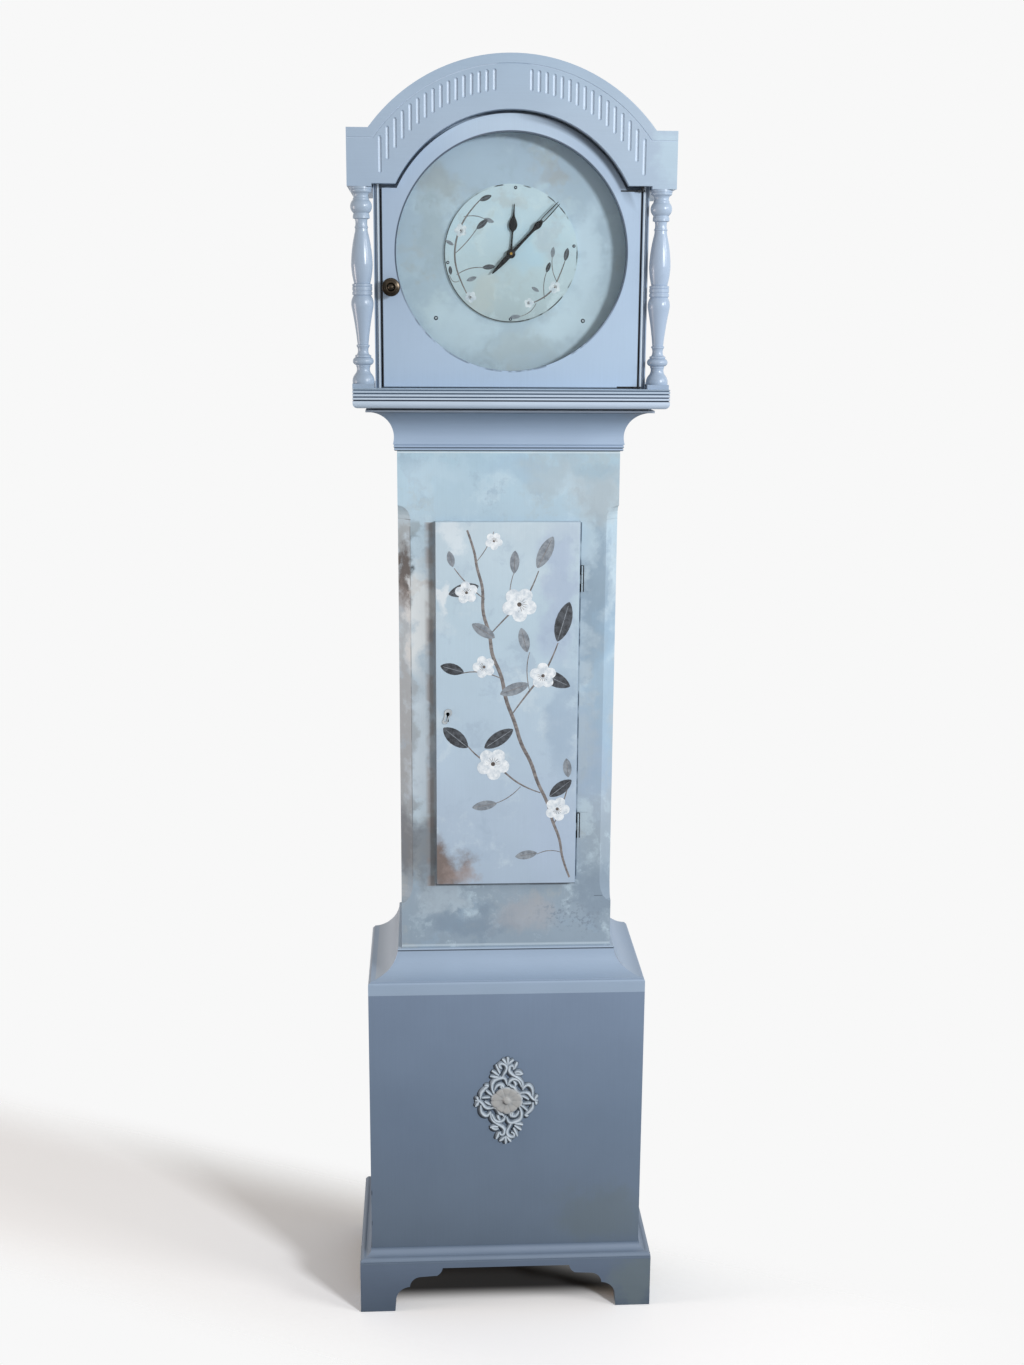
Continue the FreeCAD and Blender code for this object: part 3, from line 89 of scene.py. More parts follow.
# daylight from all round fills the shadows, and the camera, gloss and glass see a white backdrop
daylight_fill = 0.38
world = bpy.data.worlds.new("studio_daylight")
scene.world = world
add = emptied(world)
ray = add("LightPath").node.outputs
seen = add("Math", {0: ray["Is Camera Ray"], 1: ray["Is Glossy Ray"]}, operation="MAXIMUM")
seen = add("Math", {0: seen, 1: ray["Is Transmission Ray"]}, operation="MAXIMUM")
fill = add("Background", {"Color": linear("F7F3EE"), "Strength": daylight_fill})
shown = add("Background", {"Color": linear("F8F8F8"), "Strength": 1.0})
mixed = add("MixShader", {0: seen, 1: fill, 2: shown})
add("OutputWorld", {"Surface": mixed})

# matt white paper: to the camera it melts into the backdrop in front, behind and far to the side
floor_paper = bpy.data.materials.new("floor_paper")
add = emptied(floor_paper)
spot = add("TexCoord", out="Object")
to_camera = add("LightPath", out="Is Camera Ray")
reach = add("VectorMath", {0: spot, 1: (-0.35, 0.12, 0.0)}, out="Value", operation="DISTANCE")
depth = add("VectorMath", {0: spot, 1: (0.46, 1.0, 0.0)}, out="Value", operation="DOT_PRODUCT")
fade = 0.0
for measure, whole, gone in ((reach, 0.65, 1.25), (depth, 0.0, 0.22), (depth, -0.20, -0.42)):
    edge = add("MapRange", {"Value": measure, "From Min": whole, "From Max": gone},
               interpolation_type="SMOOTHSTEP")
    fade = add("Math", {0: fade, 1: edge}, operation="MAXIMUM")
fade = add("Math", {0: fade, 1: to_camera}, operation="MULTIPLY")
# a painted shadow darkens it under the case, where hardly any daylight reaches, which sets the feet on
# the ground
inward = add("VectorMath", {0: spot, 1: (0.0, 0.03, 0.0)}, operation="SUBTRACT")
inward = add("VectorMath", {0: inward}, operation="ABSOLUTE")
inward = add("SeparateXYZ", {0: inward}).node.outputs
under = 1.0
for side, half in (("X", 0.215), ("Y", 0.115)):
    edge = add("MapRange", {"Value": inward[side], "From Min": half + 0.012, "From Max": half - 0.03},
               interpolation_type="SMOOTHSTEP")
    under = add("Math", {0: under, 1: edge}, operation="MULTIPLY")
# the camera sees it whiter than the grey that it reflects on to the case
lit, shaded = (1.2, 1.2, 1.2, 1.0), (0.06, 0.06, 0.06, 1.0)
paper_tone = add("Mix", {0: under, 6: lit, 7: shaded}, out=2, data_type="RGBA")
paper_tone = add("Mix", {0: to_camera, 6: linear("C4C4C4"), 7: paper_tone}, out=2, data_type="RGBA")
sheet = add("BsdfDiffuse", {"Color": paper_tone})
clear = add("BsdfTransparent")
sheet = add("MixShader", {0: fade, 1: sheet, 2: clear})
add("OutputMaterial", {"Surface": sheet})


def piece(name, bm, *materials, smooth=True, sharp=35):
    """A finished mesh object at the origin, shaded smooth up to the sharp angle."""
    mesh = bpy.data.meshes.new(name)
    bm.to_mesh(mesh)
    bm.free()
    if smooth:
        mesh.shade_smooth()
        mesh.set_sharp_from_angle(angle=math.radians(sharp))
    made = bpy.data.objects.new(name, mesh)
    scene.collection.objects.link(made)
    for material in materials:
        mesh.materials.append(material)
    return made


floor_half, floor_drop = 6, 0.0005
bm = bmesh.new()
bmesh.ops.create_grid(bm, x_segments=2, y_segments=2, size=floor_half)
bmesh.ops.translate(bm, verts=bm.verts, vec=(0, 0, -floor_drop))
piece("floor", bm, floor_paper, smooth=False)

view_place = Vector((-0.120, -2.367, 1.559))
view_down = math.radians(13.11)
view_right = math.radians(3.14)
view_roll = math.radians(0.37)
focal_px = 1582
picture_height_px = 1365
camera = bpy.data.objects.new("camera", bpy.data.cameras.new("camera"))
camera.data.sensor_width = 36
camera.data.lens = camera.data.sensor_width * focal_px / picture_height_px
camera.data.clip_start, camera.data.clip_end = 0.1, 50
camera.matrix_world = (
    Matrix.Translation(view_place) @ Matrix.Rotation(-view_right, 4, "Z")
    @ Matrix.Rotation(math.pi / 2 - view_down, 4, "X") @ Matrix.Rotation(view_roll, 4, "Z"))
scene.collection.objects.link(camera)
scene.camera = camera


def soft_box(name, place, target, wide, high, watts, code):
    """A rectangular lamp aimed at a point."""
    lamp = bpy.data.lights.new(name, "AREA")
    lamp.shape, lamp.size, lamp.size_y, lamp.energy = "RECTANGLE", wide, high, watts
    lamp.color = linear(code)[:3]
    box = bpy.data.objects.new(name, lamp)
    aim = Vector(target) - Vector(place)
    box.matrix_world = Matrix.Translation(place) @ aim.to_track_quat("-Z", "Y").to_matrix().to_4x4()
    scene.collection.objects.link(box)


soft_box("front_window", (3.0, -3.8, 2.65), (0, 0, 1.2), 0.8, 0.8, 165, "F9FBFF")
soft_box("side_window", (4.0, -1.9, 2.9), (0, 0, 0.6), 1.2, 1.2, 52, "FDFDFD")
soft_box("left_glow", (-4.2, -0.4, 0.85), (0, 0, 0.8), 0.9, 1.5, 72, "FFF1EC")

# Base: a box of boards on the feet, brushed with a satin furniture paint that is darker near the
# floor as painted shade. The boards are butted behind the front, so paint fills the joints.
MM = 0.001
feet_top, base_top = 0.083, 0.536


def painted(name, tones, low, high, strokes="Z", cloud=0.04, rough=0.40, tilt=None, clouds=(), stains_and_painted_light=(),
            lines=(), rings=()):
    """Brush-applied paint. Its tones run from low to high, and on some pieces carry painted shade and
    light
    along that height. The coats over them come in this order:

    tilt: half the width in metres, and the tints at its left and right ends, a painted shade that
    darkens the side away from the light
    clouds: (patches a metre, colour, noise where one starts, noise where it is whole, strength)
    stains and painted light: (x, z, width, height, colour, strength), ragged at the edge, then "dots"
    for fine ones
    lines: (axis across it, place, half width, colour, strength), then from and to for one broken into
    patches; besides joints, chips and cracks, some are painted shade and some painted highlights
    rings: (height, radius, half width, colour, strength, (x, z) of the side where it is whole, how
    much further that side reaches, share that is left in patches on the other side); some are
    painted shadows
    """
    material = bpy.data.materials.new(name)
    add = emptied(material)
    place = add("TexCoord", out="Object")
    axes = add("SeparateXYZ", {0: place}).node.outputs
    rise = add("MapRange", {"Value": axes["Z"], "From Min": low, "From Max": high})
    tone = add("ValToRGB", {"Fac": rise}, stops=tones)
    # the tilt is a painted shade: darker on the side away from the light
    if tilt:
        reach, left, right = tilt
        side = add("MapRange", {"Value": axes["X"], "From Min": -reach, "From Max": reach})
        side = add("Mix", {0: side, 6: linear(left), 7: linear(right)}, out=2, data_type="RGBA")
        tone = add("Mix", {0: 1.0, 6: tone, 7: side}, out=2, data_type="RGBA", blend_type="MULTIPLY")

    def apart(value, level):
        """How far a value is from a level."""
        return add("Math", {0: add("Math", {0: value, 1: level}, operation="SUBTRACT")},
                   operation="ABSOLUTE")

    def patches(spread, scale, detail, roughness, start, whole, least=0.0, most=1.0, fall="LINEAR"):
        """Noise as a share, from the least where a patch starts to the most where it is whole."""
        noise = add("TexNoise", {"Vector": spread, "Scale": scale, "Detail": detail,
                                 "Roughness": roughness})
        return add("MapRange", {"Value": noise, "From Min": start, "From Max": whole, "To Min": least,
                                "To Max": most}, interpolation_type=fall)

    if clouds or stains_and_painted_light:  # their edges wander by up to 50 mm
        shake = add("TexNoise", {"Vector": place, "Scale": 22.0, "Detail": 5.0, "Roughness": 0.62},
                    out="Color")
        shake = add("VectorMath", {0: shake, 1: (0.5, 0.5, 0.5)}, operation="SUBTRACT")
        bent = add("VectorMath", {0: shake, 1: (0.11, 0.11, 0.11), 2: place}, operation="MULTIPLY_ADD")
    coats = []
    for index, (scale, code, start, whole, strength) in enumerate(clouds):  # each moved from the last
        moved = add("Mapping", {"Vector": bent, "Location": (index * 0.37, 0.0, index * 0.53)})
        coats.append((patches(moved, scale, 5.0, 0.6, start, whole, 0.0, strength, "SMOOTHSTEP"), code))
    for x, z, wide, tall, code, strength, *dotted in stains_and_painted_light:
        sx, sz = 2 / (wide * MM), 2 / (tall * MM)
        away = add("VectorMath", {0: bent, 1: (sx, 0.0, sz), 2: (-x * MM * sx, 0.0, -z * MM * sz)},
                   operation="MULTIPLY_ADD")
        away = add("VectorMath", {0: away}, out="Value", operation="LENGTH")
        rim, heart, fall = (1.2, 0.2, "LINEAR") if dotted else (1.15, 0.35, "SMOOTHSTEP")
        share = add("MapRange", {"Value": away, "From Min": rim, "From Max": heart, "To Max": strength},
                    interpolation_type=fall)
        if dotted:
            dots = patches(place, 150.0, 4.0, 0.7, 0.52, 0.60)
            share = add("Math", {0: share, 1: dots}, operation="MULTIPLY")
        coats.append((share, code))
    for axis, level, half, code, strength, *span in lines:
        off = apart(axes[axis], level * MM)
        share = add("MapRange", {"Value": off, "From Min": half * MM, "From Max": half * 0.4 * MM,
                                 "To Max": strength})
        if span:
            start, end = span
            off = apart(axes["Z" if axis == "X" else "X"], (start + end) / 2 * MM)
            within = add("Math", {0: off, 1: (end - start) / 2 * MM}, operation="LESS_THAN")
            wear_and_shade_kept = patches(place, 38.0, 2.0, 0.5, 0.42, 0.54, least=0.35)
            wear_and_shade_kept = add("Math", {0: wear_and_shade_kept, 1: within}, operation="MULTIPLY")
            share = add("Math", {0: share, 1: wear_and_shade_kept}, operation="MULTIPLY")
        coats.append((share, code))
    for level, radius, half, code, strength, (lean_x, lean_z), shift, trace in rings:
        radial = add("VectorMath", {0: place, 1: (1.0, 0.0, 1.0), 2: (0.0, 0.0, -level * MM)},
                     operation="MULTIPLY_ADD")
        off = apart(add("VectorMath", {0: radial}, out="Value", operation="LENGTH"), radius * MM)
        share = add("MapRange", {"Value": off, "From Min": half * MM, "From Max": half * 0.45 * MM,
                                 "To Max": strength})
        side = add("VectorMath", {0: radial, 1: (lean_x, 0.0, lean_z)}, out="Value",
                   operation="DOT_PRODUCT")
        side = add("MapRange", {"Value": side, "From Min": -0.03 - shift, "From Max": 0.05 - shift})
        wear_and_shade_kept = patches(place, 55.0, 2.0, 0.5, 0.46, 0.58, most=trace)
        wear_and_shade_kept = add("Math", {0: side, 1: wear_and_shade_kept}, operation="MAXIMUM")
        coats.append((add("Math", {0: share, 1: wear_and_shade_kept}, operation="MULTIPLY"), code))
    for share, code in coats:
        tone = add("Mix", {0: share, 6: tone, 7: linear(code)}, out=2, data_type="RGBA")
    # bristle marks along the board and the paint's orange peel, both a little coarser than real ones,
    # which would be too fine to show, and slow clouds about 110 mm across
    bristle, peel = 1.2 * MM, 2.5 * MM
    along = {"X": (18.0, 1 / bristle, 1 / bristle), "Z": (1 / bristle, 1 / bristle, 18.0)}[strokes]
    marks = add("Mapping", {"Vector": place, "Scale": along})
    marks = add("TexNoise", {"Vector": marks, "Scale": 1.0, "Detail": 2.0})
    bumps = add("TexNoise", {"Vector": place, "Scale": 1 / peel, "Detail": 2.0})
    drift = add("TexNoise", {"Vector": place, "Scale": 9.0, "Detail": 4.0, "Roughness": 0.55})
    slow, fine, gloss = [
        add("MapRange", {"Value": noise, "From Min": 0.3, "From Max": 0.7, "To Min": least,
                         "To Max": most})
        for noise, least, most in ((drift, 1 - cloud, 1 + cloud), (marks, 0.985, 1.015),
                                   (drift, rough - 0.05, rough + 0.06))]
    level = add("Math", {0: slow, 1: fine}, operation="MULTIPLY")
    coat = add("HueSaturation", {"Color": tone, "Value": level})
    relief = add("Bump", {"Height": marks, "Strength": 0.25, "Distance": 0.06 * MM})
    relief = add("Bump", {"Height": bumps, "Strength": 0.25, "Distance": 0.05 * MM, "Normal": relief})
    paint = add("BsdfPrincipled", {"Base Color": coat, "Roughness": gloss, "Specular IOR Level": 0.42,
                                   "Normal": relief})
    add("OutputMaterial", {"Surface": paint})
    return material


# planed softwood left bare where no one looks: growth lines 6 mm apart, dulled brown by age
softwood = bpy.data.materials.new("aged_softwood")
add = emptied(softwood)
growth_line, growth_length = 6 * MM, 160 * MM
board = add("TexCoord", out="Object")
growth = add("Mapping", {"Vector": board, "Scale": (1 / growth_line, 1 / growth_line,
                                                    1 / growth_length)})
growth = add("TexNoise", {"Vector": growth, "Scale": 1.0, "Detail": 3.0, "Roughness": 0.6,
                          "Distortion": 0.4})
heart = add("ValToRGB", {"Fac": growth}, stops=[(0.30, "84694A"), (0.5, "A5875F"), (0.72, "BDA079")])
bands = add("Mapping", {"Vector": board, "Scale": (14.0, 14.0, 1.2)})
bands = add("TexNoise", {"Vector": bands, "Scale": 1.0, "Detail": 2.0})
aged = add("ValToRGB", {"Fac": bands}, stops=[(0.35, "B9A88F"), (0.65, "FFFFFF")])
wood_tone = add("Mix", {0: 1.0, 6: heart, 7: aged}, out=2, data_type="RGBA", blend_type="MULTIPLY")
wood_relief = add("Bump", {"Height": growth, "Strength": 0.4, "Distance": 0.15 * MM})
bare = add("BsdfPrincipled", {"Base Color": wood_tone, "Roughness": 0.78, "Normal": wood_relief})
add("OutputMaterial", {"Surface": bare})


def coat_nodes(names, outside, hidden=None, accent=None, accented=None):
    """Paint on the CAD nodes' faces, bare wood on the hidden ones, a second paint on the accented."""
    for name in names.split():
        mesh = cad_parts[name].data
        mesh.materials.clear()
        for material in (outside, softwood, accent or outside):
            mesh.materials.append(material)
        for face in mesh.polygons:
            centre = face.center / MM
            if hidden and hidden(centre, face.normal):
                face.material_index = 1
            elif accented and accented(centre, face.normal):
                face.material_index = 2


# an even satin coat with a soft sheen; darker and duller near the floor and on the left as painted shade
base_paint = painted(
    "base_satin_paint", [(0, "5E6D7E"), (0.18, "67778A"), (0.55, "6D7F95"), (1, "7A8CA4")], feet_top,
    base_top, cloud=0.03, rough=0.42, tilt=(0.22, "F6F6F6", "FFFFFF"),
    stains_and_painted_light=[(150, 150, 170, 130, "66716F", 0.35), (-150, 300, 120, 200, "64748B", 0.25)],
    lines=[("X", -212.9, 0.8, "222A37", 0.9, 196, 204), ("X", -212.9, 0.8, "222A37", 0.9, 143, 150)])
side_inner = 199.5
coat_nodes("base_front", base_paint, lambda c, n: n.y > 0.5)
coat_nodes("base_sides", base_paint, lambda c, n: abs(c.x) < side_inner or n.y > 0.5)
coat_nodes("base_floor glue_blocks", softwood)

# Feet and plinth moulding: sawn bracket boards mitred at the front corners under a planed
# moulding, in the same paint, with a painted highlight along the moulding's round.
plinth_top = 0.103
# the same satin coat, streaked along the boards, with painted shade at the floor, scuffed at the right
# foot
foot_paint = painted(
    "foot_satin_paint", [(0, "4F5D6E"), (0.5, "586679"), (1, "617084")], 0.0, feet_top, strokes="X",
    cloud=0.05, rough=0.38, stains_and_painted_light=[(205, 45, 110, 120, "68757A", 0.7)])
# the moulding's round is paler where it turns to the light; painted light makes its left end greyer and
# paler
plinth_paint = painted(
    "plinth_satin_paint", [(0, "5F6E80"), (0.4, "748396"), (0.8, "7B8A9E"), (1, "6E7E92")], feet_top,
    plinth_top, strokes="X", cloud=0.03, rough=0.36)
plinth_left_lit = painted("plinth_left_lit_paint", [(0, "65737F"), (0.4, "7B899A"), (1, "778495")], feet_top,
                       plinth_top, cloud=0.03)
foot_inner, front_feet_back = 213.0, -90


def faces_left(c, n):
    """The left end of a moulding, which takes a painted light from the left."""
    return n.x < -0.2


coat_nodes("front_bracket_feet side_bracket_feet", foot_paint, lambda c, n: (
    abs(c.x) < foot_inner - 0.5 and n.y > 0.5
    or abs(n.x) > 0.9 and abs(c.x) < foot_inner and c.y > front_feet_back))
coat_nodes("plinth_moulding", plinth_paint, accent=plinth_left_lit, accented=faces_left)

# Ornament: a lozenge of pierced leaf scrolls with a petalled rosette, cast in composition and
# glued to the base, chalk-painted and rubbed pale on its ridges.
ornament_low, ornament_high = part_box("base_ornament")
ornament_z = (ornament_low.z + ornament_high.z) / 2
ornament_half_x = (ornament_high.x - ornament_low.x) / 2
ornament_half_z = (ornament_high.z - ornament_low.z) / 2
base_front_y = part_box("base_front")[0].y
ornament_at = Vector((0, base_front_y, ornament_z))
# half of the strokes, in percent of the lozenge's half width and half height
scroll_strokes = [
    [(19, 70), (21, 76), (14, 79), (7, 76), (6, 66), (14, 59), (29, 53), (43, 45), (49, 36), (48, 27)],
    [(-16, 50), (-9, 60), (-1, 69), (-1, 77), (-9, 83), (-19, 84), (-25, 79), (-19, 73), (-14, 73)],
    [(0, 37), (-3, 47), (-11, 52), (-25, 50), (-40, 45), (-46, 34), (-43, 22), (-37, 13)],
    [(-37, 24), (-33, 33), (-21, 37), (-11, 34), (-11, 27), (-19, 24)],
    [(3, 34), (7, 43), (17, 48), (29, 48), (39, 42), (45, 30)],
    [(7, 37), (13, 30), (21, 31), (25, 24), (33, 16), (45, 15)],
    [(48, 24), (53, 31), (63, 35), (74, 30), (79, 20), (78, 9)],
    [(39, 16), (55, 18), (66, 15), (75, 5), (84, -1), (95, -1)],
    [(43, 10), (55, 8), (67, 1)],
    [(79, -5), (80, -15), (73, -23), (63, -30), (55, -34)],
    [(41, -11), (51, -15), (63, -24)],
    [(49, -8), (61, -8), (75, -7)],
]
leaf_strokes = [
    [(22, 71), (26, 79), (31, 87)], [(24, 63), (36, 68), (46, 60)], [(25, 60), (37, 57), (49, 61)],
    [(-21, 62), (-27, 71), (-33, 82)], [(-24, 57), (-35, 63), (-45, 68)],
    [(-25, 53), (-39, 54), (-50, 56)], [(2, 80), (3, 90), (2, 98.5)], [(-1, 82), (-7, 90), (-14, 94)],
    [(5, 82), (12, 89), (21, 92)], [(84, 1), (89, 8), (94, 12)], [(86, -3), (91, -7), (88, -10)],
    [(55, -33), (60, -37), (66, -34)], [(-12, 37), (-20, 31), (-15, 27)],
    [(20, 44), (30, 37), (24, 33)],
]


def both_ways(strokes):
    """The strokes in millimetres, and the same turned half round the lozenge's centre."""
    placed = [[(a / 100 * ornament_half_x / MM, b / 100 * ornament_half_z / MM) for a, b in stroke]
              for stroke in strokes]
    return placed + [[(-x, -z) for x, z in stroke] for stroke in placed]


def drawn(bm, strokes, origin, half_width, half_thick, taper=0.35, slot=0, turns=5):
    """Tapered round strokes through the given places, pressed flat in Y."""
    line = bpy.data.curves.new("strokes", "CURVE")
    line.dimensions, line.bevel_depth, line.bevel_resolution = "3D", 1.0, 2
    line.resolution_u, line.use_fill_caps = turns, True
    for stroke in strokes:
        spline = line.splines.new("NURBS")
        spline.points.add(len(stroke) - 1)
        for index, (x, z) in enumerate(stroke):
            swell = taper + (1 - taper) * math.sin(math.pi * (0.06 + 0.88 * index / (len(stroke) - 1)))
            spline.points[index].co = (x * MM, 0, z * MM, 1)
            spline.points[index].radius = half_width * MM * swell
        spline.order_u, spline.use_endpoint_u = 3, True
    holder = bpy.data.objects.new("strokes", line)
    mesh = bpy.data.meshes.new_from_object(holder)
    mesh.transform(Matrix.Translation(origin) @ Matrix.Scale(half_thick / half_width, 4, (0, 1, 0)))
    for face in mesh.polygons:
        face.material_index = slot
    bm.from_mesh(mesh)


bm = bmesh.new()
scrolls, leaf_tips = both_ways(scroll_strokes), both_ways(leaf_strokes)
drawn(bm, scrolls, ornament_at, 4.8, 2.7, taper=0.6)
drawn(bm, leaf_tips, ornament_at, 6.0, 3.1, taper=0.4)
# a flat dark copy of each stroke, moved down and to the left: a painted shadow on the board
shadow_bed_at = ornament_at + Vector((-1.5 * MM, 0, -1.4 * MM))
drawn(bm, scrolls, shadow_bed_at, 4.9, 0.5, taper=0.6, slot=1)
drawn(bm, leaf_tips, shadow_bed_at, 6.0, 0.4, taper=0.4, slot=1)
# the casting's flat back, glued to the board, and a rib along each scroll and leaf
weld = 0.01 * MM
bmesh.ops.remove_doubles(bm, verts=bm.verts, dist=weld)
bmesh.ops.bisect_plane(bm, geom=bm.verts[:] + bm.edges[:] + bm.faces[:], plane_co=ornament_at,
                       plane_no=(0, 1, 0), clear_outer=True)
bmesh.ops.holes_fill(bm, edges=[e for e in bm.edges if e.is_boundary], sides=0)
drawn(bm, scrolls, ornament_at + Vector((0, -2.3 * MM, 0)), 2.2, 1.4, taper=0.5)
drawn(bm, leaf_tips, ornament_at + Vector((0, -2.6 * MM, 0)), 2.6, 1.4)

rosette_profile = [(0.0, 6.6), (3.0, 6.4), (4.8, 5.6), (5.8, 4.2), (6.8, 3.5), (9.5, 3.5), (14.0, 4.0),
                   (18.5, 4.2), (21.5, 4.0), (23.2, 2.8), (23.8, 0.0)]
petals, petal_steps = 10, 12
petal_root, petal_long = 8.5, 15.3
scroll_verts = set(bm.verts)
start = [bm.verts.new(ornament_at + Vector((reach * MM, -rise * MM, 0)))
         for reach, rise in rosette_profile]
start_edges = [bm.edges.new(pair) for pair in zip(start, start[1:])]
bmesh.ops.spin(bm, geom=start + start_edges, cent=ornament_at, axis=(0, 1, 0), angle=2 * math.pi,
               steps=petals * petal_steps, use_merge=True)
# the petals sink and draw in between one another, and reach further to the left and right
for vert in set(bm.verts) - scroll_verts:
    off = vert.co - ornament_at
    reach = math.hypot(off.x, off.z) / MM
    turn = math.atan2(off.x, off.z)
    if reach > petal_root:
        lobe = abs(math.cos(petals * turn / 2))
        share = (reach - petal_root) / petal_long
        wide = 1.0 + share * (0.13 * math.sin(turn) ** 4 - 0.07 * math.sin(2 * turn) ** 2
                              - 0.07 * (1 - lobe ** 0.5))
        vert.co.x = ornament_at.x + off.x * wide
        vert.co.z = ornament_at.z + off.z * wide
        vert.co.y = ornament_at.y + off.y * (0.86 + 0.14 * lobe ** 0.6)
bmesh.ops.remove_doubles(bm, verts=bm.verts, dist=weld)
bmesh.ops.recalc_face_normals(bm, faces=bm.faces)

# cast composition, chalk-painted: matt, with painted shade dark in its hollows and on the faces
# turned down and left, rubbed pale on the ridges, beige on the rosette
chalk_paint = bpy.data.materials.new("ornament_chalk_paint")
add = emptied(chalk_paint)
spot = add("TexCoord", out="Object")
proud = add("SeparateXYZ", {0: spot}, out="Y")
proud = add("MapRange", {"Value": proud, "From Min": base_front_y, "From Max": base_front_y - 4.0 * MM})
rubbed = add("TexNoise", {"Vector": spot, "Scale": 1 / (4 * MM), "Detail": 3.0})
rubbed = add("Math", {0: rubbed, 1: 0.5, 2: -0.25}, operation="MULTIPLY_ADD")
proud = add("Math", {0: proud, 1: rubbed}, operation="ADD")
scroll_tone = add("ValToRGB", {"Fac": proud}, stops=[(0, "343D49"), (0.3, "66737F"), (0.6, "9AA7B4"),
                                                     (0.95, "C4D0DA")])
rose_tone = add("ValToRGB", {"Fac": proud}, stops=[(0.1, "5F656D"), (0.75, "979A9C"), (1, "A8A9A8")])
middle = add("VectorMath", {0: spot, 1: (1.0, 0.0, 1.1), 2: (0.0, 0.0, -1.1 * ornament_z)},
             operation="MULTIPLY_ADD")
middle = add("VectorMath", {0: middle}, out="Value", operation="LENGTH")
middle = add("MapRange", {"Value": middle, "From Min": 27 * MM, "From Max": 22 * MM})
chalk_tone = add("Mix", {0: middle, 6: scroll_tone, 7: rose_tone}, out=2, data_type="RGBA")
turned = add("NewGeometry", out="Normal")
turned = add("VectorMath", {0: turned, 1: (-0.76, 0.0, -0.65)}, out="Value", operation="DOT_PRODUCT")
painted_shade_share = add("MapRange", {"Value": turned, "From Min": 0.12, "From Max": 0.72, "To Max": 0.9})
chalk_tone = add("Mix", {0: painted_shade_share, 6: chalk_tone, 7: linear("222A35")}, out=2, data_type="RGBA")
grit = add("TexNoise", {"Vector": spot, "Scale": 1 / (1.2 * MM), "Detail": 2.0})
grit = add("Bump", {"Height": grit, "Strength": 0.3, "Distance": 0.12 * MM})
chalk = add("BsdfPrincipled", {"Base Color": chalk_tone, "Roughness": 0.62, "Normal": grit})
add("OutputMaterial", {"Surface": chalk})
# a painted shadow: dark flat strokes on the board, set below and left of the scrolls where their shade
# falls
shadow_bed_low, shadow_bed_high = 0.2, 0.45
painted_shadow_bed = painted("ornament_painted_shadow_bed", [(0, "232B36"), (1, "2E3744")], shadow_bed_low, shadow_bed_high, cloud=0.05,
                   rough=0.5)
casting = piece("base_ornament_casting", bm, chalk_paint, painted_shadow_bed, sharp=50)
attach(casting, "root")
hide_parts("base_ornament")
coat_nodes("base_ornament", chalk_paint)

# Waist moulding: a long hollow planed in one length and mitred, in the same paint, paler where it
# faces up as painted light. Dark lines run along its fillets, and its left end carries a painted light.
waist_top = 0.599
# a smooth satin hollow, paler as it turns up to the light, under a dark line where the trunk stands
waist_paint = painted(
    "waist_satin_paint", [(0, "97AABF"), (0.3, "98ABC1"), (0.9, "9CAFC5"), (1, "A4B6C9")], base_top,
    waist_top, strokes="X", cloud=0.02, rough=0.38,
    lines=[("Z", 596.0, 1.6, "3A4453", 0.85), ("Z", 556.5, 0.9, "7F90A6", 0.6)])
# the same coat, greyer and paler: a painted light from the left
waist_left_lit = painted(
    "waist_left_lit_paint", [(0, "A8B4C2"), (1, "AEBAC7")], base_top, waist_top, cloud=0.03, rough=0.42,
    lines=[("Z", 596.0, 1.6, "3A4453", 0.85), ("Z", 556.5, 0.9, "8F9CAC", 0.6)])
coat_nodes("waist_moulding", waist_paint, accent=waist_left_lit, accented=faces_left)

# Carcase inside: backboard, seat board and the runners that hold the hood down, of bare softwood.
# All are nailed or screwed between the trunk's sides and never painted.
coat_nodes("backboard seat_board hood_runners", softwood)

# Trunk: sides, canted stiles and rails, sponged and washed in pale aqua, grey and beige over the
# blue, so that no two patches match.
trunk_top = 1.366
trunk_tones = [(0, "8E9FAE"), (0.16, "93A4B2"), (0.30, "A3B2BF"), (0.55, "AFC0CC"), (0.8, "B2C6D3"),
               (1, "AECAD9")]
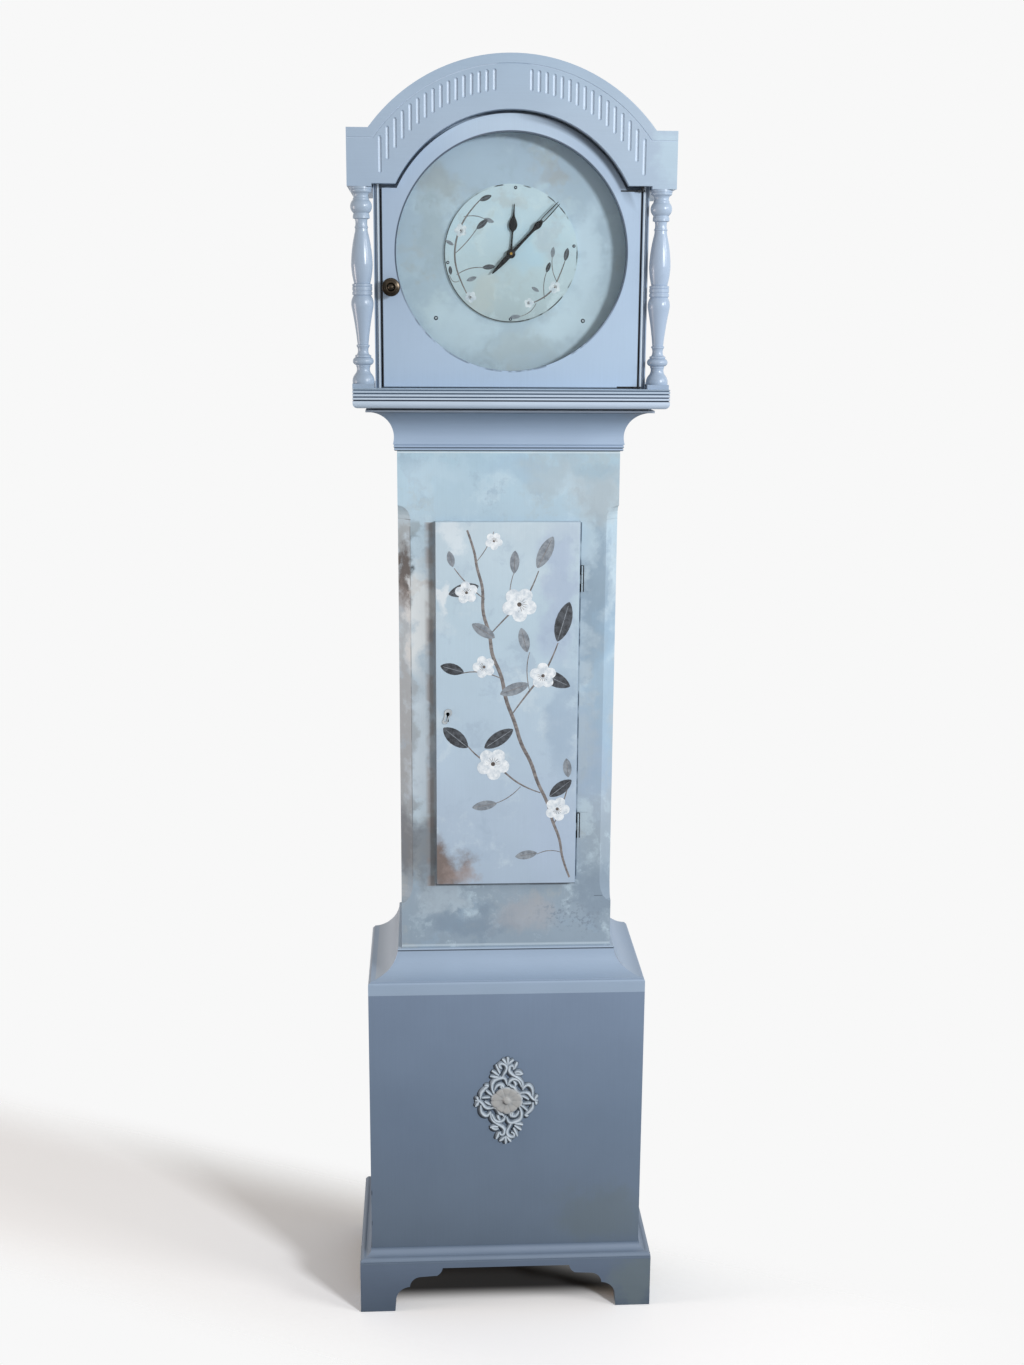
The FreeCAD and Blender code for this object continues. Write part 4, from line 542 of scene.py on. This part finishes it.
# a flatter, thin-washed front: cloudy patches, rubbed brown and black at the left cant, painted
# shadow left of the door and under it, and painted highlights along the trunk's top and foot
trunk_paint = painted(
    "trunk_washed_paint", trunk_tones, waist_top, trunk_top, cloud=0.05, rough=0.46,
    clouds=[(14.0, "BFD3DE", 0.50, 0.66, 0.65), (19.0, "93A9BC", 0.54, 0.68, 0.45),
            (11.0, "ABB0AE", 0.56, 0.70, 0.35)],
    stains_and_painted_light=[(-156, 1190, 40, 100, "2A2624", 1.0), (-130, 1173, 50, 18, "8C8078", 0.7),
            (-156, 1245, 30, 56, "8E989C", 0.6), (-100, 1330, 130, 60, "BED4E1", 0.5),
            (-156, 1150, 40, 60, "8C8582", 0.5), (-158, 950, 36, 420, "A0A6AA", 0.7),
            (-156, 770, 40, 150, "656C75", 0.75), (-128, 760, 60, 160, "767A7E", 0.65),
            (-128, 1120, 50, 200, "DEE3E4", 0.85), (-128, 930, 50, 260, "C6D3DC", 0.7),
            (60, 1330, 120, 60, "A9B9C2", 0.7), (130, 1335, 80, 50, "9CB2BF", 0.6),
            (130, 1290, 90, 90, "AAB4B9", 0.65), (10, 1345, 120, 40, "9FB9CC", 0.5),
            (135, 1150, 60, 260, "8198AC", 0.7), (135, 900, 60, 200, "9EB4CB", 0.6),
            (150, 1010, 60, 300, "9AB8CF", 0.6), (30, 650, 120, 80, "ADABAE", 0.45),
            (-60, 640, 160, 60, "74879A", 0.55), (-110, 680, 90, 60, "9CAAB6", 0.7),
            (140, 690, 70, 120, "7E8FA0", 0.7), (100, 650, 120, 60, "7C8A99", 1.0, "dots")],
    lines=[("Z", 602.5, 2.6, "C4D4DE", 0.55), ("Z", 1363.6, 1.3, "DDEBF3", 0.75),
           ("Z", 702.6, 3.2, "51555C", 0.75, -109, 106), ("X", 106.6, 1.8, "2A3C50", 0.9, 708, 1262),
           ("X", -116, 8.5, "8F8784", 0.68, 700, 1262), ("X", -144.2, 0.9, "646C73", 0.75, 716, 1256),
           ("Z", 1266, 0.8, "5E6A73", 0.8, -163, -143), ("Z", 1266, 0.8, "75899B", 0.7, 143, 163),
           ("Z", 681, 0.8, "4A5764", 0.8, 136, 149)])
# the sides have the same washes with fewer layers, and stay bare above the throat, inside the hood
side_paint = painted(
    "trunk_side_washed_paint", trunk_tones, waist_top, trunk_top, cloud=0.05, rough=0.46,
    clouds=[(10.0, "B6C9D5", 0.50, 0.66, 0.5), (15.0, "93A7B8", 0.54, 0.68, 0.4)],
    lines=[("Z", 1484, 114, "9A7D57", 1.0)])
trunk_side_inner, trunk_side_outer, rebate_back = 147.5, 161, 130


def inside_trunk(c, n):
    """The faces of a side board that look into the trunk or lie against the backboard."""
    return (abs(c.x) < trunk_side_inner and abs(n.x) > 0.9
            or n.y > 0.5 and c.y < rebate_back and abs(c.x) < trunk_side_outer)


def faces_back(c, n):
    """The faces that look towards the wall."""
    return n.y > 0.9


coat_nodes("trunk_side_left trunk_side_right", side_paint, inside_trunk)
coat_nodes("trunk_stiles trunk_rails", trunk_paint, faces_back)

# Trunk door: a lipped board in the same washes, paler on the left and lavender on the right. It
# overlaps the stiles and hangs on two butt hinges.
door_foot, door_head, door_back_y = 0.706, 1.264, -60.9
# thin washes over satin blue: pale clouds, a patch rubbed brown at the lower left, dark lines at the
# edges
door_paint = painted(
    "door_washed_paint",
    [(0, "A6B8CA"), (0.2, "AFC1D3"), (0.45, "B4C8D8"), (0.75, "B9CEDB"), (1, "C0D1DB")],
    door_foot, door_head, rough=0.44,
    clouds=[(12.0, "C9D8E1", 0.52, 0.68, 0.55), (17.0, "9DB0C3", 0.55, 0.70, 0.4)],
    stains_and_painted_light=[(-98, 735, 80, 110, "756760", 0.95), (-70, 722, 60, 50, "9C8E8A", 0.6),
            (-100, 1155, 26, 70, "E3EAEE", 0.8), (-85, 1245, 60, 40, "DCE6EC", 0.7),
            (75, 1160, 70, 260, "A6B5CE", 0.6), (70, 780, 110, 200, "AEBFD4", 0.6),
            (85, 950, 60, 220, "9AAFC4", 0.6)],
    lines=[("X", -107.7, 0.9, "54636E", 0.8), ("Z", 706.6, 1.1, "3A3C44", 0.85),
           ("X", 104.7, 0.9, "6A7F94", 0.6)])
coat_nodes("trunk_door", door_paint, lambda c, n: c.y > door_back_y)

# Blossom branch on the door: a few strokes of thin oil colour, a bare umber stem with charcoal
# leaves and chalk-white flowers.
# stems as places and full width, leaves as x, z, length, width and turn, blossoms as x, z and reach,
# in millimetres and degrees
branch_strokes = [
    ([(96, 716), (84, 746), (81, 778), (68, 808), (61, 838), (45, 868), (36, 900), (19, 930), (11, 962),
      (-4, 998), (-9, 1034), (-25, 1066), (-27, 1098), (-39, 1130), (-37, 1166), (-47, 1196), (-50, 1222),
      (-61, 1252)], 5.6),
    ([(50, 852), (20, 862), (-16, 896), (-44, 906), (-60, 926)], 3.0),
    ([(6, 975), (32, 1012), (60, 1044), (74, 1084)], 3.2),
    ([(-28, 1096), (4, 1132), (30, 1152), (44, 1192)], 2.8),
    ([(-35, 1150), (-60, 1168), (-80, 1196)], 2.4), ([(70, 800), (86, 832), (94, 872)], 2.4),
    ([(-10, 1030), (-42, 1046), (-70, 1038)], 2.4), ([(32, 1012), (24, 1046), (32, 1070)], 1.8),
    ([(4, 1132), (-2, 1164), (8, 1190)], 1.7), ([(20, 862), (2, 842), (-18, 836)], 1.7),
    ([(84, 756), (64, 764), (46, 754)], 1.7), ([(-48, 1205), (-30, 1226), (-22, 1250)], 1.7)]
charcoal_leaves = [(-60, 924, 48, 23, 140), (73, 1086, 62, 24, 74), (-66, 1040, 36, 17, 164),
                   (64, 846, 42, 19, 38), (46, 1040, 52, 22, -26), (-44, 1170, 46, 19, 196),
                   (8, 952, 52, 21, 214)]
grey_leaves = [(42, 1196, 52, 20, 64), (-82, 1198, 24, 11, 104), (-16, 836, 38, 15, 190),
               (28, 1070, 38, 16, 104), (-12, 1006, 46, 18, 20), (8, 1188, 34, 14, 88),
               (92, 876, 30, 13, 96), (46, 756, 34, 14, 190), (-20, 1092, 40, 17, 148)]
blossoms = [(-22, 898, 25), (52, 1034, 20), (16, 1142, 26), (-62, 1160, 17), (76, 826, 19),
            (-36, 1048, 17), (-22, 1236, 13)]
paint_film = 0.1


def leaf(bm, x, y, z, long, wide, turn, slot, blunt=1.5):
    """A flat painted leaf or petal, pointed at both ends."""
    made = bmesh.ops.create_circle(bm, cap_ends=True, segments=20, radius=1.0)["verts"]
    for vert in made:
        angle = math.atan2(vert.co.y, vert.co.x)
        half = math.copysign(abs(math.sin(angle)) ** blunt, math.sin(angle))
        vert.co = ((math.cos(angle) + 1) * long / 2 * MM, 0, half * wide / 2 * MM)
    bmesh.ops.rotate(bm, verts=made, cent=(0, 0, 0),
                     matrix=Matrix.Rotation(math.radians(-turn), 3, "Y"))
    bmesh.ops.translate(bm, verts=made, vec=(x * MM, y, z * MM))
    cap = made[0].link_faces[0]
    cap.material_index = slot
    grown = bmesh.ops.extrude_face_region(bm, geom=[cap])["geom"]
    bmesh.ops.translate(bm, verts=[g for g in grown if isinstance(g, bmesh.types.BMVert)],
                        vec=(0, -paint_film * MM, 0))


def blossom(bm, x, y, z, reach, slots):
    """Five overlapping petals round a dark eye with short stamens."""
    for petal in range(5):
        leaf(bm, x, y - 0.02 * MM * petal, z, reach, reach * 0.86, 72 * petal + 17 * x, slots[0],
             blunt=0.8)
    leaf(bm, x - 0.13 * reach, y - 0.14 * MM, z, reach * 0.26, reach * 0.26, 0, slots[1], blunt=1.0)
    stamens = [[(x + share * reach * math.cos(a), z + share * reach * math.sin(a))
                for share in (0.16, 0.42)] for a in (math.radians(24 * step) for step in range(15))]
    drawn(bm, stamens, Vector((0, y - 0.12 * MM, 0)), 0.35, 0.06, taper=0.7, slot=slots[1], turns=2)


def wash(name, dark, light, scale_mm):
    """Thin artist's colour: half matt, and uneven where the brush ran dry."""
    material = bpy.data.materials.new(name)
    add = emptied(material)
    place = add("TexCoord", out="Object")
    patch = add("TexNoise", {"Vector": place, "Scale": 1 / (scale_mm * MM), "Detail": 4.0,
                             "Roughness": 0.65})
    tone = add("ValToRGB", {"Fac": patch}, stops=[(0.36, dark), (0.62, light)])
    relief = add("Bump", {"Height": patch, "Strength": 0.2, "Distance": 0.05 * MM})
    coat = add("BsdfPrincipled", {"Base Color": tone, "Roughness": 0.5, "Normal": relief})
    add("OutputMaterial", {"Surface": coat})
    return material


# stems, near leaves, far leaves, petals and the flowers' eyes
washes = (wash("umber_wash", "5E5A5A", "8B8684", 6), wash("charcoal_wash", "24272C", "51565D", 7),
          wash("slate_wash", "6D757E", "949CA4", 9), wash("chalk_white_wash", "C6D1DA", "EDF2F5", 8),
          wash("flower_eye_wash", "3A3532", "6A5F58", 3))
umber, charcoal, slate, white, eye = range(5)


def painted_sprig(name, body, front_y, strokes, dark_leaves, pale_leaves, flowers):
    """Stems, leaves and flowers in one thin layer on a front."""
    bm = bmesh.new()
    for stroke, full in strokes:
        drawn(bm, [stroke], Vector((0, front_y, 0)), full / 2, 0.12, taper=0.45, slot=umber)
    for leaves, lift, paint, rib_paint in (
            (dark_leaves, 0.06, charcoal, slate), (pale_leaves, 0.04, slate, umber)):
        for x, z, long, wide, turn in leaves:
            leaf(bm, x, front_y - lift * MM, z, long, wide, turn, paint)
            ahead = (math.cos(math.radians(turn)), math.sin(math.radians(turn)))
            rib = [(x + share * long * ahead[0], z + share * long * ahead[1])
                   for share in (0.02, 0.5, 0.9)]
            drawn(bm, [rib], Vector((0, front_y - (lift + 0.09) * MM, 0)), wide * 0.035, 0.05,
                  slot=rib_paint, turns=2)
    for x, z, reach in flowers:
        blossom(bm, x, front_y - 0.10 * MM, z, reach, (white, eye))
    made = piece(name, bm, *washes, smooth=False)
    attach(made, body)


painted_sprig("door_blossom_branch", "trunk_door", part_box("trunk_door")[0].y,
              branch_strokes, charcoal_leaves, grey_leaves, blossoms)

# Throat moulding: a deep hollow over a small astragal, mitred at the corners, painted as the hood.
# Painted shade lies dark in its quirks and under the hood's rails.
throat_top = 1.430
# smooth satin, darker up into the hollow as painted shade, with a painted highlight along its top fillet
throat_paint = painted(
    "throat_satin_paint",
    [(0, "A6BAD1"), (0.3, "A0B4CB"), (0.55, "8CA0B7"), (0.8, "8195AC"), (0.88, "75899F")],
    trunk_top, throat_top, strokes="X", cloud=0.02, rough=0.38,
    lines=[("Z", 1366.4, 1.1, "2E3A49", 0.95), ("Z", 1370.6, 1.1, "36455A", 0.9),
           ("Z", 1422.2, 1.0, "2F3B49", 0.8), ("Z", 1424.8, 1.8, "C3CFDE", 0.8),
           ("Z", 1428.6, 3.0, "0C121B", 0.95)])
coat_nodes("throat_moulding", throat_paint)


# Movement: brass plates, pillars and wheels, brushed and lacquered; steel arbors, anchor and
# pendulum rod; a brass bob turned on its face.
def metal(name, dark, light, rough, scratch_mm, metallic=1.0, gleam=0.5):
    """Worked metal: directional scratches, drawn coarse enough to show, and a slow tarnish."""
    material = bpy.data.materials.new(name)
    add = emptied(material)
    scratch, tarnish_patch = scratch_mm * MM, 18 * MM
    place = add("TexCoord", out="Object")
    marks = add("Mapping", {"Vector": place, "Scale": (1 / scratch, 1 / scratch, 1 / (25 * scratch))})
    marks = add("TexNoise", {"Vector": marks, "Scale": 1.0, "Detail": 2.0})
    tarnish = add("TexNoise", {"Vector": place, "Scale": 1 / tarnish_patch, "Detail": 4.0})
    tone = add("ValToRGB", {"Fac": tarnish}, stops=[(0.3, dark), (0.65, light)])
    gloss = add("MapRange", {"Value": tarnish, "From Min": 0.3, "From Max": 0.7, "To Min": rough + 0.10,
                             "To Max": rough - 0.05})
    relief = add("Bump", {"Height": marks, "Strength": 0.3, "Distance": 0.03 * MM})
    shell = add("BsdfPrincipled", {"Base Color": tone, "Metallic": metallic, "Roughness": gloss,
                                   "Specular IOR Level": gleam, "Normal": relief})
    add("OutputMaterial", {"Surface": shell})
    return material


# warm yellow with a soft shine under the lacquer; cool grey with a brighter one
brass = metal("lacquered_brass", "8A6A34", "B8924E", 0.34, 0.5)
steel = metal("polished_steel", "7E8288", "A9ACB0", 0.28, 0.4)
coat_nodes("front_plate back_plate movement_pillars back_cock hour_wheel minute_wheel great_wheel "
           "centre_wheel third_wheel escape_wheel pendulum_bob", brass)
coat_nodes("anchor pendulum_rod", steel)

# Dial: an iron plate with a raised disc, painted matt in cloudy grey-blue, with a thin dark line
# round the disc that has worn away on the right.
dial_z = 1641.0
dial_low, dial_high = 1.477, 1.805
disc_low, disc_high, disc_edge = 1.547, 1.735, 94.0
# matt and sponged, with pale clouds and beige-grey stains, and on the right a pale patch of painted light
dial_paint = painted(
    "dial_matt_paint", [(0, "B8CAD6"), (0.4, "B7CAD7"), (1, "B1C3D4")], dial_low, dial_high, strokes="X",
    cloud=0.05, rough=0.6, clouds=[(15.0, "C5D7E1", 0.50, 0.66, 0.7), (20.0, "A3B3BE", 0.54, 0.68, 0.5),
                                   (12.0, "B7BAB8", 0.56, 0.70, 0.45)],
    stains_and_painted_light=[(-90, 1730, 90, 60, "A9AFB0", 0.6), (20, 1510, 140, 60, "B7C2C5", 0.5),
            (-100, 1560, 60, 50, "CBDDE4", 0.7), (-105, 1660, 60, 120, "A4B2B8", 0.5),
            (110, 1640, 60, 160, "D2E4F0", 0.75), (-75, 1545, 110, 90, "D0E2EC", 0.65),
            (80, 1540, 110, 90, "D3E5EF", 0.75), (60, 1745, 70, 40, "A9A9AC", 0.4)])
# the same, paler and greener, with the ring left whole on the lower left
disc_paint = painted(
    "dial_disc_paint", [(0, "B2C1C5"), (0.35, "C4D6DC"), (0.7, "C9DFE9"), (1, "C9DBE3")], disc_low,
    disc_high, strokes="X", rough=0.6,
    clouds=[(22.0, "D5E5EA", 0.50, 0.66, 0.6), (26.0, "B8C1C1", 0.56, 0.70, 0.4)],
    stains_and_painted_light=[(-40, 1590, 70, 50, "C6CDCA", 0.6), (60, 1650, 40, 60, "B9C4CD", 0.5),
            (0, 1720, 70, 30, "BDC3C4", 0.5), (20, 1640, 60, 60, "BEDCEC", 0.6)],
    rings=[(dial_z, disc_edge - 1.2, 1.1, "2F343A", 1.0, (-0.85, -0.52), 0.0, 1.0)])
coat_nodes("dial_plate", dial_paint)
coat_nodes("dial_disc", disc_paint)
# round-headed screws painted over: dark at the rim, with a painted highlight on the crown
screw_rim = metal("painted_screw_rims", "2E353C", "4B555E", 0.45, 0.6, metallic=0.4)
screw_crown = metal("screw_crown_painted_glint", "B9C4CC", "E4EBEF", 0.30, 0.6, metallic=0.4)
coat_nodes("dial_fixings", screw_rim, accent=screw_crown, accented=lambda c, n: n.y < -0.975)

# Hands: sawn from thin steel with a teardrop and a needle, the minute hand forked beyond its
# teardrop, filed at the edges, pinned through a turned collet and japanned black.
# baked black varnish on steel: near black, with a weak, soft shine
japan = metal("black_japanned_steel", "08090B", "121417", 0.36, 0.8, metallic=0.0, gleam=0.15)
# (place along the hand, half width)
hour_half = [(67.5, 0.0), (66.5, 0.5), (58.0, 0.8), (51.0, 1.3), (47.0, 3.2), (42.5, 5.6), (37.0, 6.0),
             (32.5, 4.2), (30.5, 1.3), (27.0, 0.9), (12.0, 1.0), (5.0, 1.7), (0.0, 1.7)]
minute_half = [(62.5, 0.0), (61.5, 1.8), (58.0, 3.6), (54.0, 4.5), (50.0, 3.9), (46.5, 2.2), (40.0, 1.6),
               (20.0, 1.8), (5.0, 2.2), (0.0, 2.6), (-8.0, 3.3), (-16.0, 3.2), (-28.0, 2.0), (-37.0, 0.9),
               (-38.0, 0.0)]
fork_lines = [[(58.0, 2.6), (78.0, 2.3), (95.5, 1.6)], [(58.0, -2.6), (78.0, -2.3), (91.0, -1.8)]]
fork_half, blade_thick, fork_thick, filed_edge = 0.55, 1.2, 1.0, 0.15
hour_turn, minute_turn = 3.8, 44


def cut_blade(bm, half_outline, y_front, thick):
    """A flat blade up the Z axis from a half outline, mirrored, with filed edges."""
    sheet = bpy.data.curves.new("blade", "CURVE")
    sheet.dimensions, sheet.fill_mode, sheet.resolution_u = "2D", "BOTH", 8
    sheet.extrude, sheet.bevel_depth = (thick / 2 - filed_edge) * MM, filed_edge * MM
    sheet.bevel_resolution = 1
    ring = half_outline + [(rise, -half) for rise, half in reversed(half_outline) if half]
    spline = sheet.splines.new("NURBS")
    spline.points.add(len(ring) - 1)
    for point, (rise, half) in zip(spline.points, ring):
        point.co = (half * MM, rise * MM, 0, 1)
    spline.order_u, spline.use_cyclic_u = 3, True
    mesh = bpy.data.meshes.new_from_object(bpy.data.objects.new("blade", sheet))
    mesh.transform(Matrix.Translation((0, y_front + thick / 2 * MM, 0))
                   @ Matrix.Rotation(math.pi / 2, 4, "X"))
    bm.from_mesh(mesh)


def collet(bm, profile, y_front):
    """A turned round head on the Y axis from (radius, height) steps."""
    chain = [bm.verts.new((radius * MM, y_front - height * MM, 0)) for radius, height in profile]
    edges = [bm.edges.new(pair) for pair in zip(chain, chain[1:])]
    bmesh.ops.spin(bm, geom=chain + edges, cent=(0, 0, 0), axis=(0, 1, 0), angle=2 * math.pi, steps=40,
                   use_merge=True)


def hang_hand(bm, name, turn):
    """Turns a finished hand to its place on the dial and lets it stand for its CAD node."""
    bmesh.ops.remove_doubles(bm, verts=bm.verts, dist=0.002 * MM)
    bmesh.ops.recalc_face_normals(bm, faces=bm.faces)
    bmesh.ops.rotate(bm, verts=bm.verts, cent=(0, 0, 0),
                     matrix=Matrix.Rotation(math.radians(turn), 3, "Y"))
    bmesh.ops.translate(bm, verts=bm.verts, vec=(0, 0, dial_z * MM))
    made = piece(name + "_blade", bm, japan, sharp=40)
    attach(made, name)
    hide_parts(name)


hour_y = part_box("hour_hand")[0].y
bm = bmesh.new()
cut_blade(bm, hour_half, hour_y, blade_thick)
collet(bm, [(3.2, -1.2), (6.0, -1.2), (6.0, 0.2), (5.2, 0.5), (3.2, 0.5), (3.2, -1.2)], hour_y)
hang_hand(bm, "hour_hand", hour_turn)
minute_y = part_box("minute_hand")[0].y
bm = bmesh.new()
cut_blade(bm, minute_half, minute_y, blade_thick)
for line in fork_lines:
    cut_blade(bm, [(rise, half - fork_half) for rise, half in line]
              + [(rise, half + fork_half) for rise, half in reversed(line)], minute_y, fork_thick)
collet(bm, [(1.6, -1.2), (5.6, -1.2), (5.6, 0.2), (4.8, 0.7), (3.0, 0.9), (2.6, 1.6), (1.6, 1.8),
            (1.6, -1.2)], minute_y)
hang_hand(bm, "minute_hand", minute_turn)
coat_nodes("hour_hand minute_hand", japan)
collet_back = -82
coat_nodes("cannon_pinion", brass, accent=japan, accented=lambda c, n: c.y < collet_back)

# Dial sprigs: a few strokes of the same thin colours round the disc's lower left and right.
# They lie on the disc's matt paint, like the branch on the door.
dial_strokes = [
    ([(-58, 1580), (-76, 1612), (-80, 1650), (-66, 1690), (-44, 1712)], 2.6),
    ([(-76, 1612), (-58, 1624), (-40, 1622)], 1.7), ([(-79, 1640), (-60, 1656), (-48, 1674)], 1.7),
    ([(-72, 1604), (-82, 1598), (-86, 1612)], 1.3), ([(-66, 1690), (-50, 1694), (-38, 1688)], 1.5),
    ([(24, 1572), (48, 1580), (66, 1602), (76, 1632)], 2.3), ([(48, 1580), (44, 1600), (50, 1616)], 1.5),
    ([(66, 1602), (56, 1618), (58, 1636)], 1.5), ([(36, 1574), (30, 1560), (14, 1556)], 1.4)]
dial_dark = [(-40, 1622, 18, 7, 6), (-48, 1674, 20, 8, 40), (-44, 1712, 18, 7, 22),
             (76, 1632, 18, 7, 78), (50, 1616, 15, 6, 70), (-84, 1612, 12, 5, 96)]
dial_pale = [(-38, 1688, 15, 6, -18), (-62, 1604, 15, 6, 20), (58, 1636, 15, 6, 84),
             (14, 1556, 15, 6, 186), (40, 1590, 12, 5, 150), (-80, 1652, 13, 5, 150)]
dial_blossoms = [(-70, 1672, 9), (-56, 1582, 8), (62, 1596, 8.5), (26, 1574, 7)]
painted_sprig("dial_centre_sprigs", "root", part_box("dial_disc")[0].y, dial_strokes,
              dial_dark, dial_pale, dial_blossoms)

# Hood: rails, sides, arched frieze, returns, roof and mask, in satin blue-grey; painted shade lies
# as a dark line in each quirk of the rails' reeds.
# every hood paint is a little darker on the left: a painted shade, away from the light
hood_tilt = (0.23, "F3F3F1", "FFFFFF")
rails_top, frieze_foot, hood_top = 1.457, 1.727, 1.900
rail_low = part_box("hood_base_rails")[0].z / MM
reeds = [(0.93, "64788D", 0.85), (0.76, "566A80", 0.9), (0.58, "4C5F76", 0.9), (0.41, "26354A", 0.95)]
# glossier satin on the reeded rails, a painted highlight on the rounds and painted shade in the quirks
rail_paint = painted(
    "rail_satin_paint", [(0, "A9BBCF"), (0.35, "C6D6E8"), (0.6, "C2D2E4"), (1, "A9BCCF")], throat_top,
    rails_top, strokes="X", cloud=0.02, rough=0.36, tilt=hood_tilt,
    lines=[("Z", rail_low + (rails_top / MM - rail_low) * share, 1.5, code, strength)
           for share, code, strength in reeds])
# an even coat inside the door; on the frieze a little paler, and paler still at the right end; in the
# flutes it is paler and glossier, a painted highlight
mask_paint = painted("hood_satin_paint", [(0, "A0B4CC"), (0.55, "A6B8CD"), (1, "A9BCCF")], throat_top,
                     hood_top, strokes="X", cloud=0.025, rough=0.38, tilt=hood_tilt)
frieze_paint = painted(
    "frieze_satin_paint", [(0, "A9BCCF"), (0.45, "ABBDCF"), (1, "A6BACD")], frieze_foot, hood_top,
    strokes="X", cloud=0.025, rough=0.38, tilt=(0.23, "EEF0F3", "FFFFFF"),
    stains_and_painted_light=[(214, 1765, 60, 110, "C4DEE9", 0.35)])
flute_painted_highlight = painted("flute_satin_paint", [(0, "C4D4E4"), (1, "C2D1E1")], frieze_foot, hood_top,
                      cloud=0.03, rough=0.3, tilt=(0.23, "F2F3F5", "FFFFFF"))
frieze_front_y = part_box("hood_frieze")[0].y / MM
flute_depth, flutes_start = 4, 22
coat_nodes("hood_base_rails", rail_paint)
coat_nodes("hood_frieze", frieze_paint, faces_back, accent=flute_painted_highlight, accented=lambda c, n: (
    0.05 < c.y - frieze_front_y < flute_depth and abs(n.z) < 0.75 and abs(c.x) > flutes_start))
coat_nodes("frieze_returns", frieze_paint)
coat_nodes("hood_roof", frieze_paint, lambda c, n: n.z < -0.1)
coat_nodes("hood_mask", mask_paint, faces_back)
# the side boards' front edges: a black joint at the door, a painted highlight on the arris and
# painted shade in the outer quirk
side_low, side_high = [corner.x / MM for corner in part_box("hood_side_right")]
side_mid = (side_low + side_high) / 2
hood_side_paint = painted(
    "hood_side_satin_paint", [(0, "A0B4CC"), (1, "A9BCCF")], throat_top, hood_top, cloud=0.025,
    rough=0.36, tilt=hood_tilt, lines=[
        ("X", way * place, half, code, strength) for way in (-1, 1) for place, half, code, strength in (
            (side_low + 0.4, 1.0, "0E1620", 0.95), (side_mid - 1.2, 2.0, "E2EDF5", 0.75),
            (side_high - 2.6, 1.6, "2C3C52", 0.9))])
inner_face, mask_back = 182, -80
coat_nodes("hood_side_left hood_side_right", hood_side_paint,
           lambda c, n: abs(n.x) > 0.9 and abs(c.x) < inner_face and c.y > mask_back)

# Columns: turned in one piece each, the paint glossier where hands have held them.
# They are pinned between the rails and the frieze.
column_paint = painted("column_satin_paint", [(0, "9FB1C6"), (0.5, "A3B5CB"), (1, "A6B8CC")], rails_top,
                       frieze_foot, strokes="X", cloud=0.02, rough=0.27, tilt=hood_tilt)
coat_nodes("column_left column_right", column_paint)

# Hood door: a board with a round opening, rebated behind for the glass, hung on two pins.
# Its top follows the frieze's arch.
hood_door_low, hood_door_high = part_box("hood_door")
opening_edge, door_arch = 160.0, 175.6
opening_low, opening_high, door_crown = 1.48, 1.80, 1.827
# the opening's sawn edge, painted dark as shade
opening_painted_shade = painted("opening_edge_paint", [(0, "4A5A6D"), (1, "36424F")], opening_low, opening_high,
                        strokes="X", rough=0.45)
# the board's satin is the palest blue of the hood, lighter at the top as painted light; black joints
# at its edges, a painted shadow round the opening, broken at the bottom, and the frieze's shadow
# painted under the right of the arch
hood_door_paint = painted(
    "hood_door_satin_paint",
    [(0, "B4C9E0"), (0.1, "B2C7DD"), (0.5, "AFC3D9"), (0.85, "B2C5DA"), (1, "C2D4E5")],
    rails_top, door_crown, cloud=0.02, rough=0.38, tilt=(0.18, "EDEEEF", "FBFDFE"),
    lines=[("X", way * (hood_door_high.x / MM - 0.2), 1.1, "0E1722", 0.95) for way in (-1, 1)]
    + [("Z", hood_door_low.z / MM + 0.3, 0.9, "4B5C70", 0.8)],
    rings=[(dial_z, opening_edge + 0.9, 1.4, "2F3C4E", 0.9, (0.1, 1.0), 0.09, 0.6),
           (hood_door_high.z / MM - door_arch, door_arch - 2.5, 8.0, "414C5B", 1.0, (1.2, 1.6), -0.31,
            0.0)])
coat_nodes("hood_door", hood_door_paint, faces_back, accent=opening_painted_shade, accented=lambda c, n: (
    abs(n.y) < 0.5 and math.hypot(c.x, c.z - dial_z) < opening_edge + 1))

# Glass: thin drawn sheet, held in the rebate; it shows only as a faint reflection.
# Drawn glass is clear, with a shine that grows towards its edge.
glass = bpy.data.materials.new("drawn_sheet_glass")
add = emptied(glass)
edge_on = add("Fresnel", {"IOR": 1.45})
edge_on = add("Math", {0: edge_on, 1: 0.35}, operation="MULTIPLY")
through = add("BsdfTransparent", {"Color": linear("FAFCFC")})
shine = add("BsdfGlossy", {"Color": linear("FFFFFF"), "Roughness": 0.03})
pane = add("MixShader", {0: edge_on, 1: through, 2: shine})
add("OutputMaterial", {"Surface": pane})
coat_nodes("hood_glass", glass)

# Knob and escutcheon: cast and turned bronze, gone dark, bright on the ridges; hinges, pins and
# lock of black iron.
# brown-black with a warm, sharp shine; forged and blacked, nearly matt; rubbed to a silvery bloom
bronze = metal("dark_bronze", "1F1C18", "4A4238", 0.30, 0.4)
iron = metal("black_iron", "15171A", "26282C", 0.45, 0.6, metallic=0.6)
rubbed_plate = metal("rubbed_escutcheon_metal", "9AA5AD", "DDE4E8", 0.30, 0.5, metallic=0.5)
coat_nodes("hood_door_knob", bronze)
# the plate's edges and the keyhole's walls in dark bronze, partly painted shade in the keyhole
coat_nodes("escutcheon", rubbed_plate, accent=bronze, accented=lambda c, n: n.y > -0.3)
coat_nodes("hood_door_pivots trunk_lock lock_bolt", iron)
# the hinges' fronts were painted over with the trunk
knuckle_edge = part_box("trunk_hinge_door_leaves")[1].x / MM + 0.4
coat_nodes("trunk_hinge_door_leaves", iron, accent=trunk_paint, accented=lambda c, n: n.y < -0.92)
coat_nodes("trunk_hinge_frame_leaves", iron, accent=trunk_paint,
           accented=lambda c, n: n.y < -0.92 or c.x > knuckle_edge and n.y < -0.3)
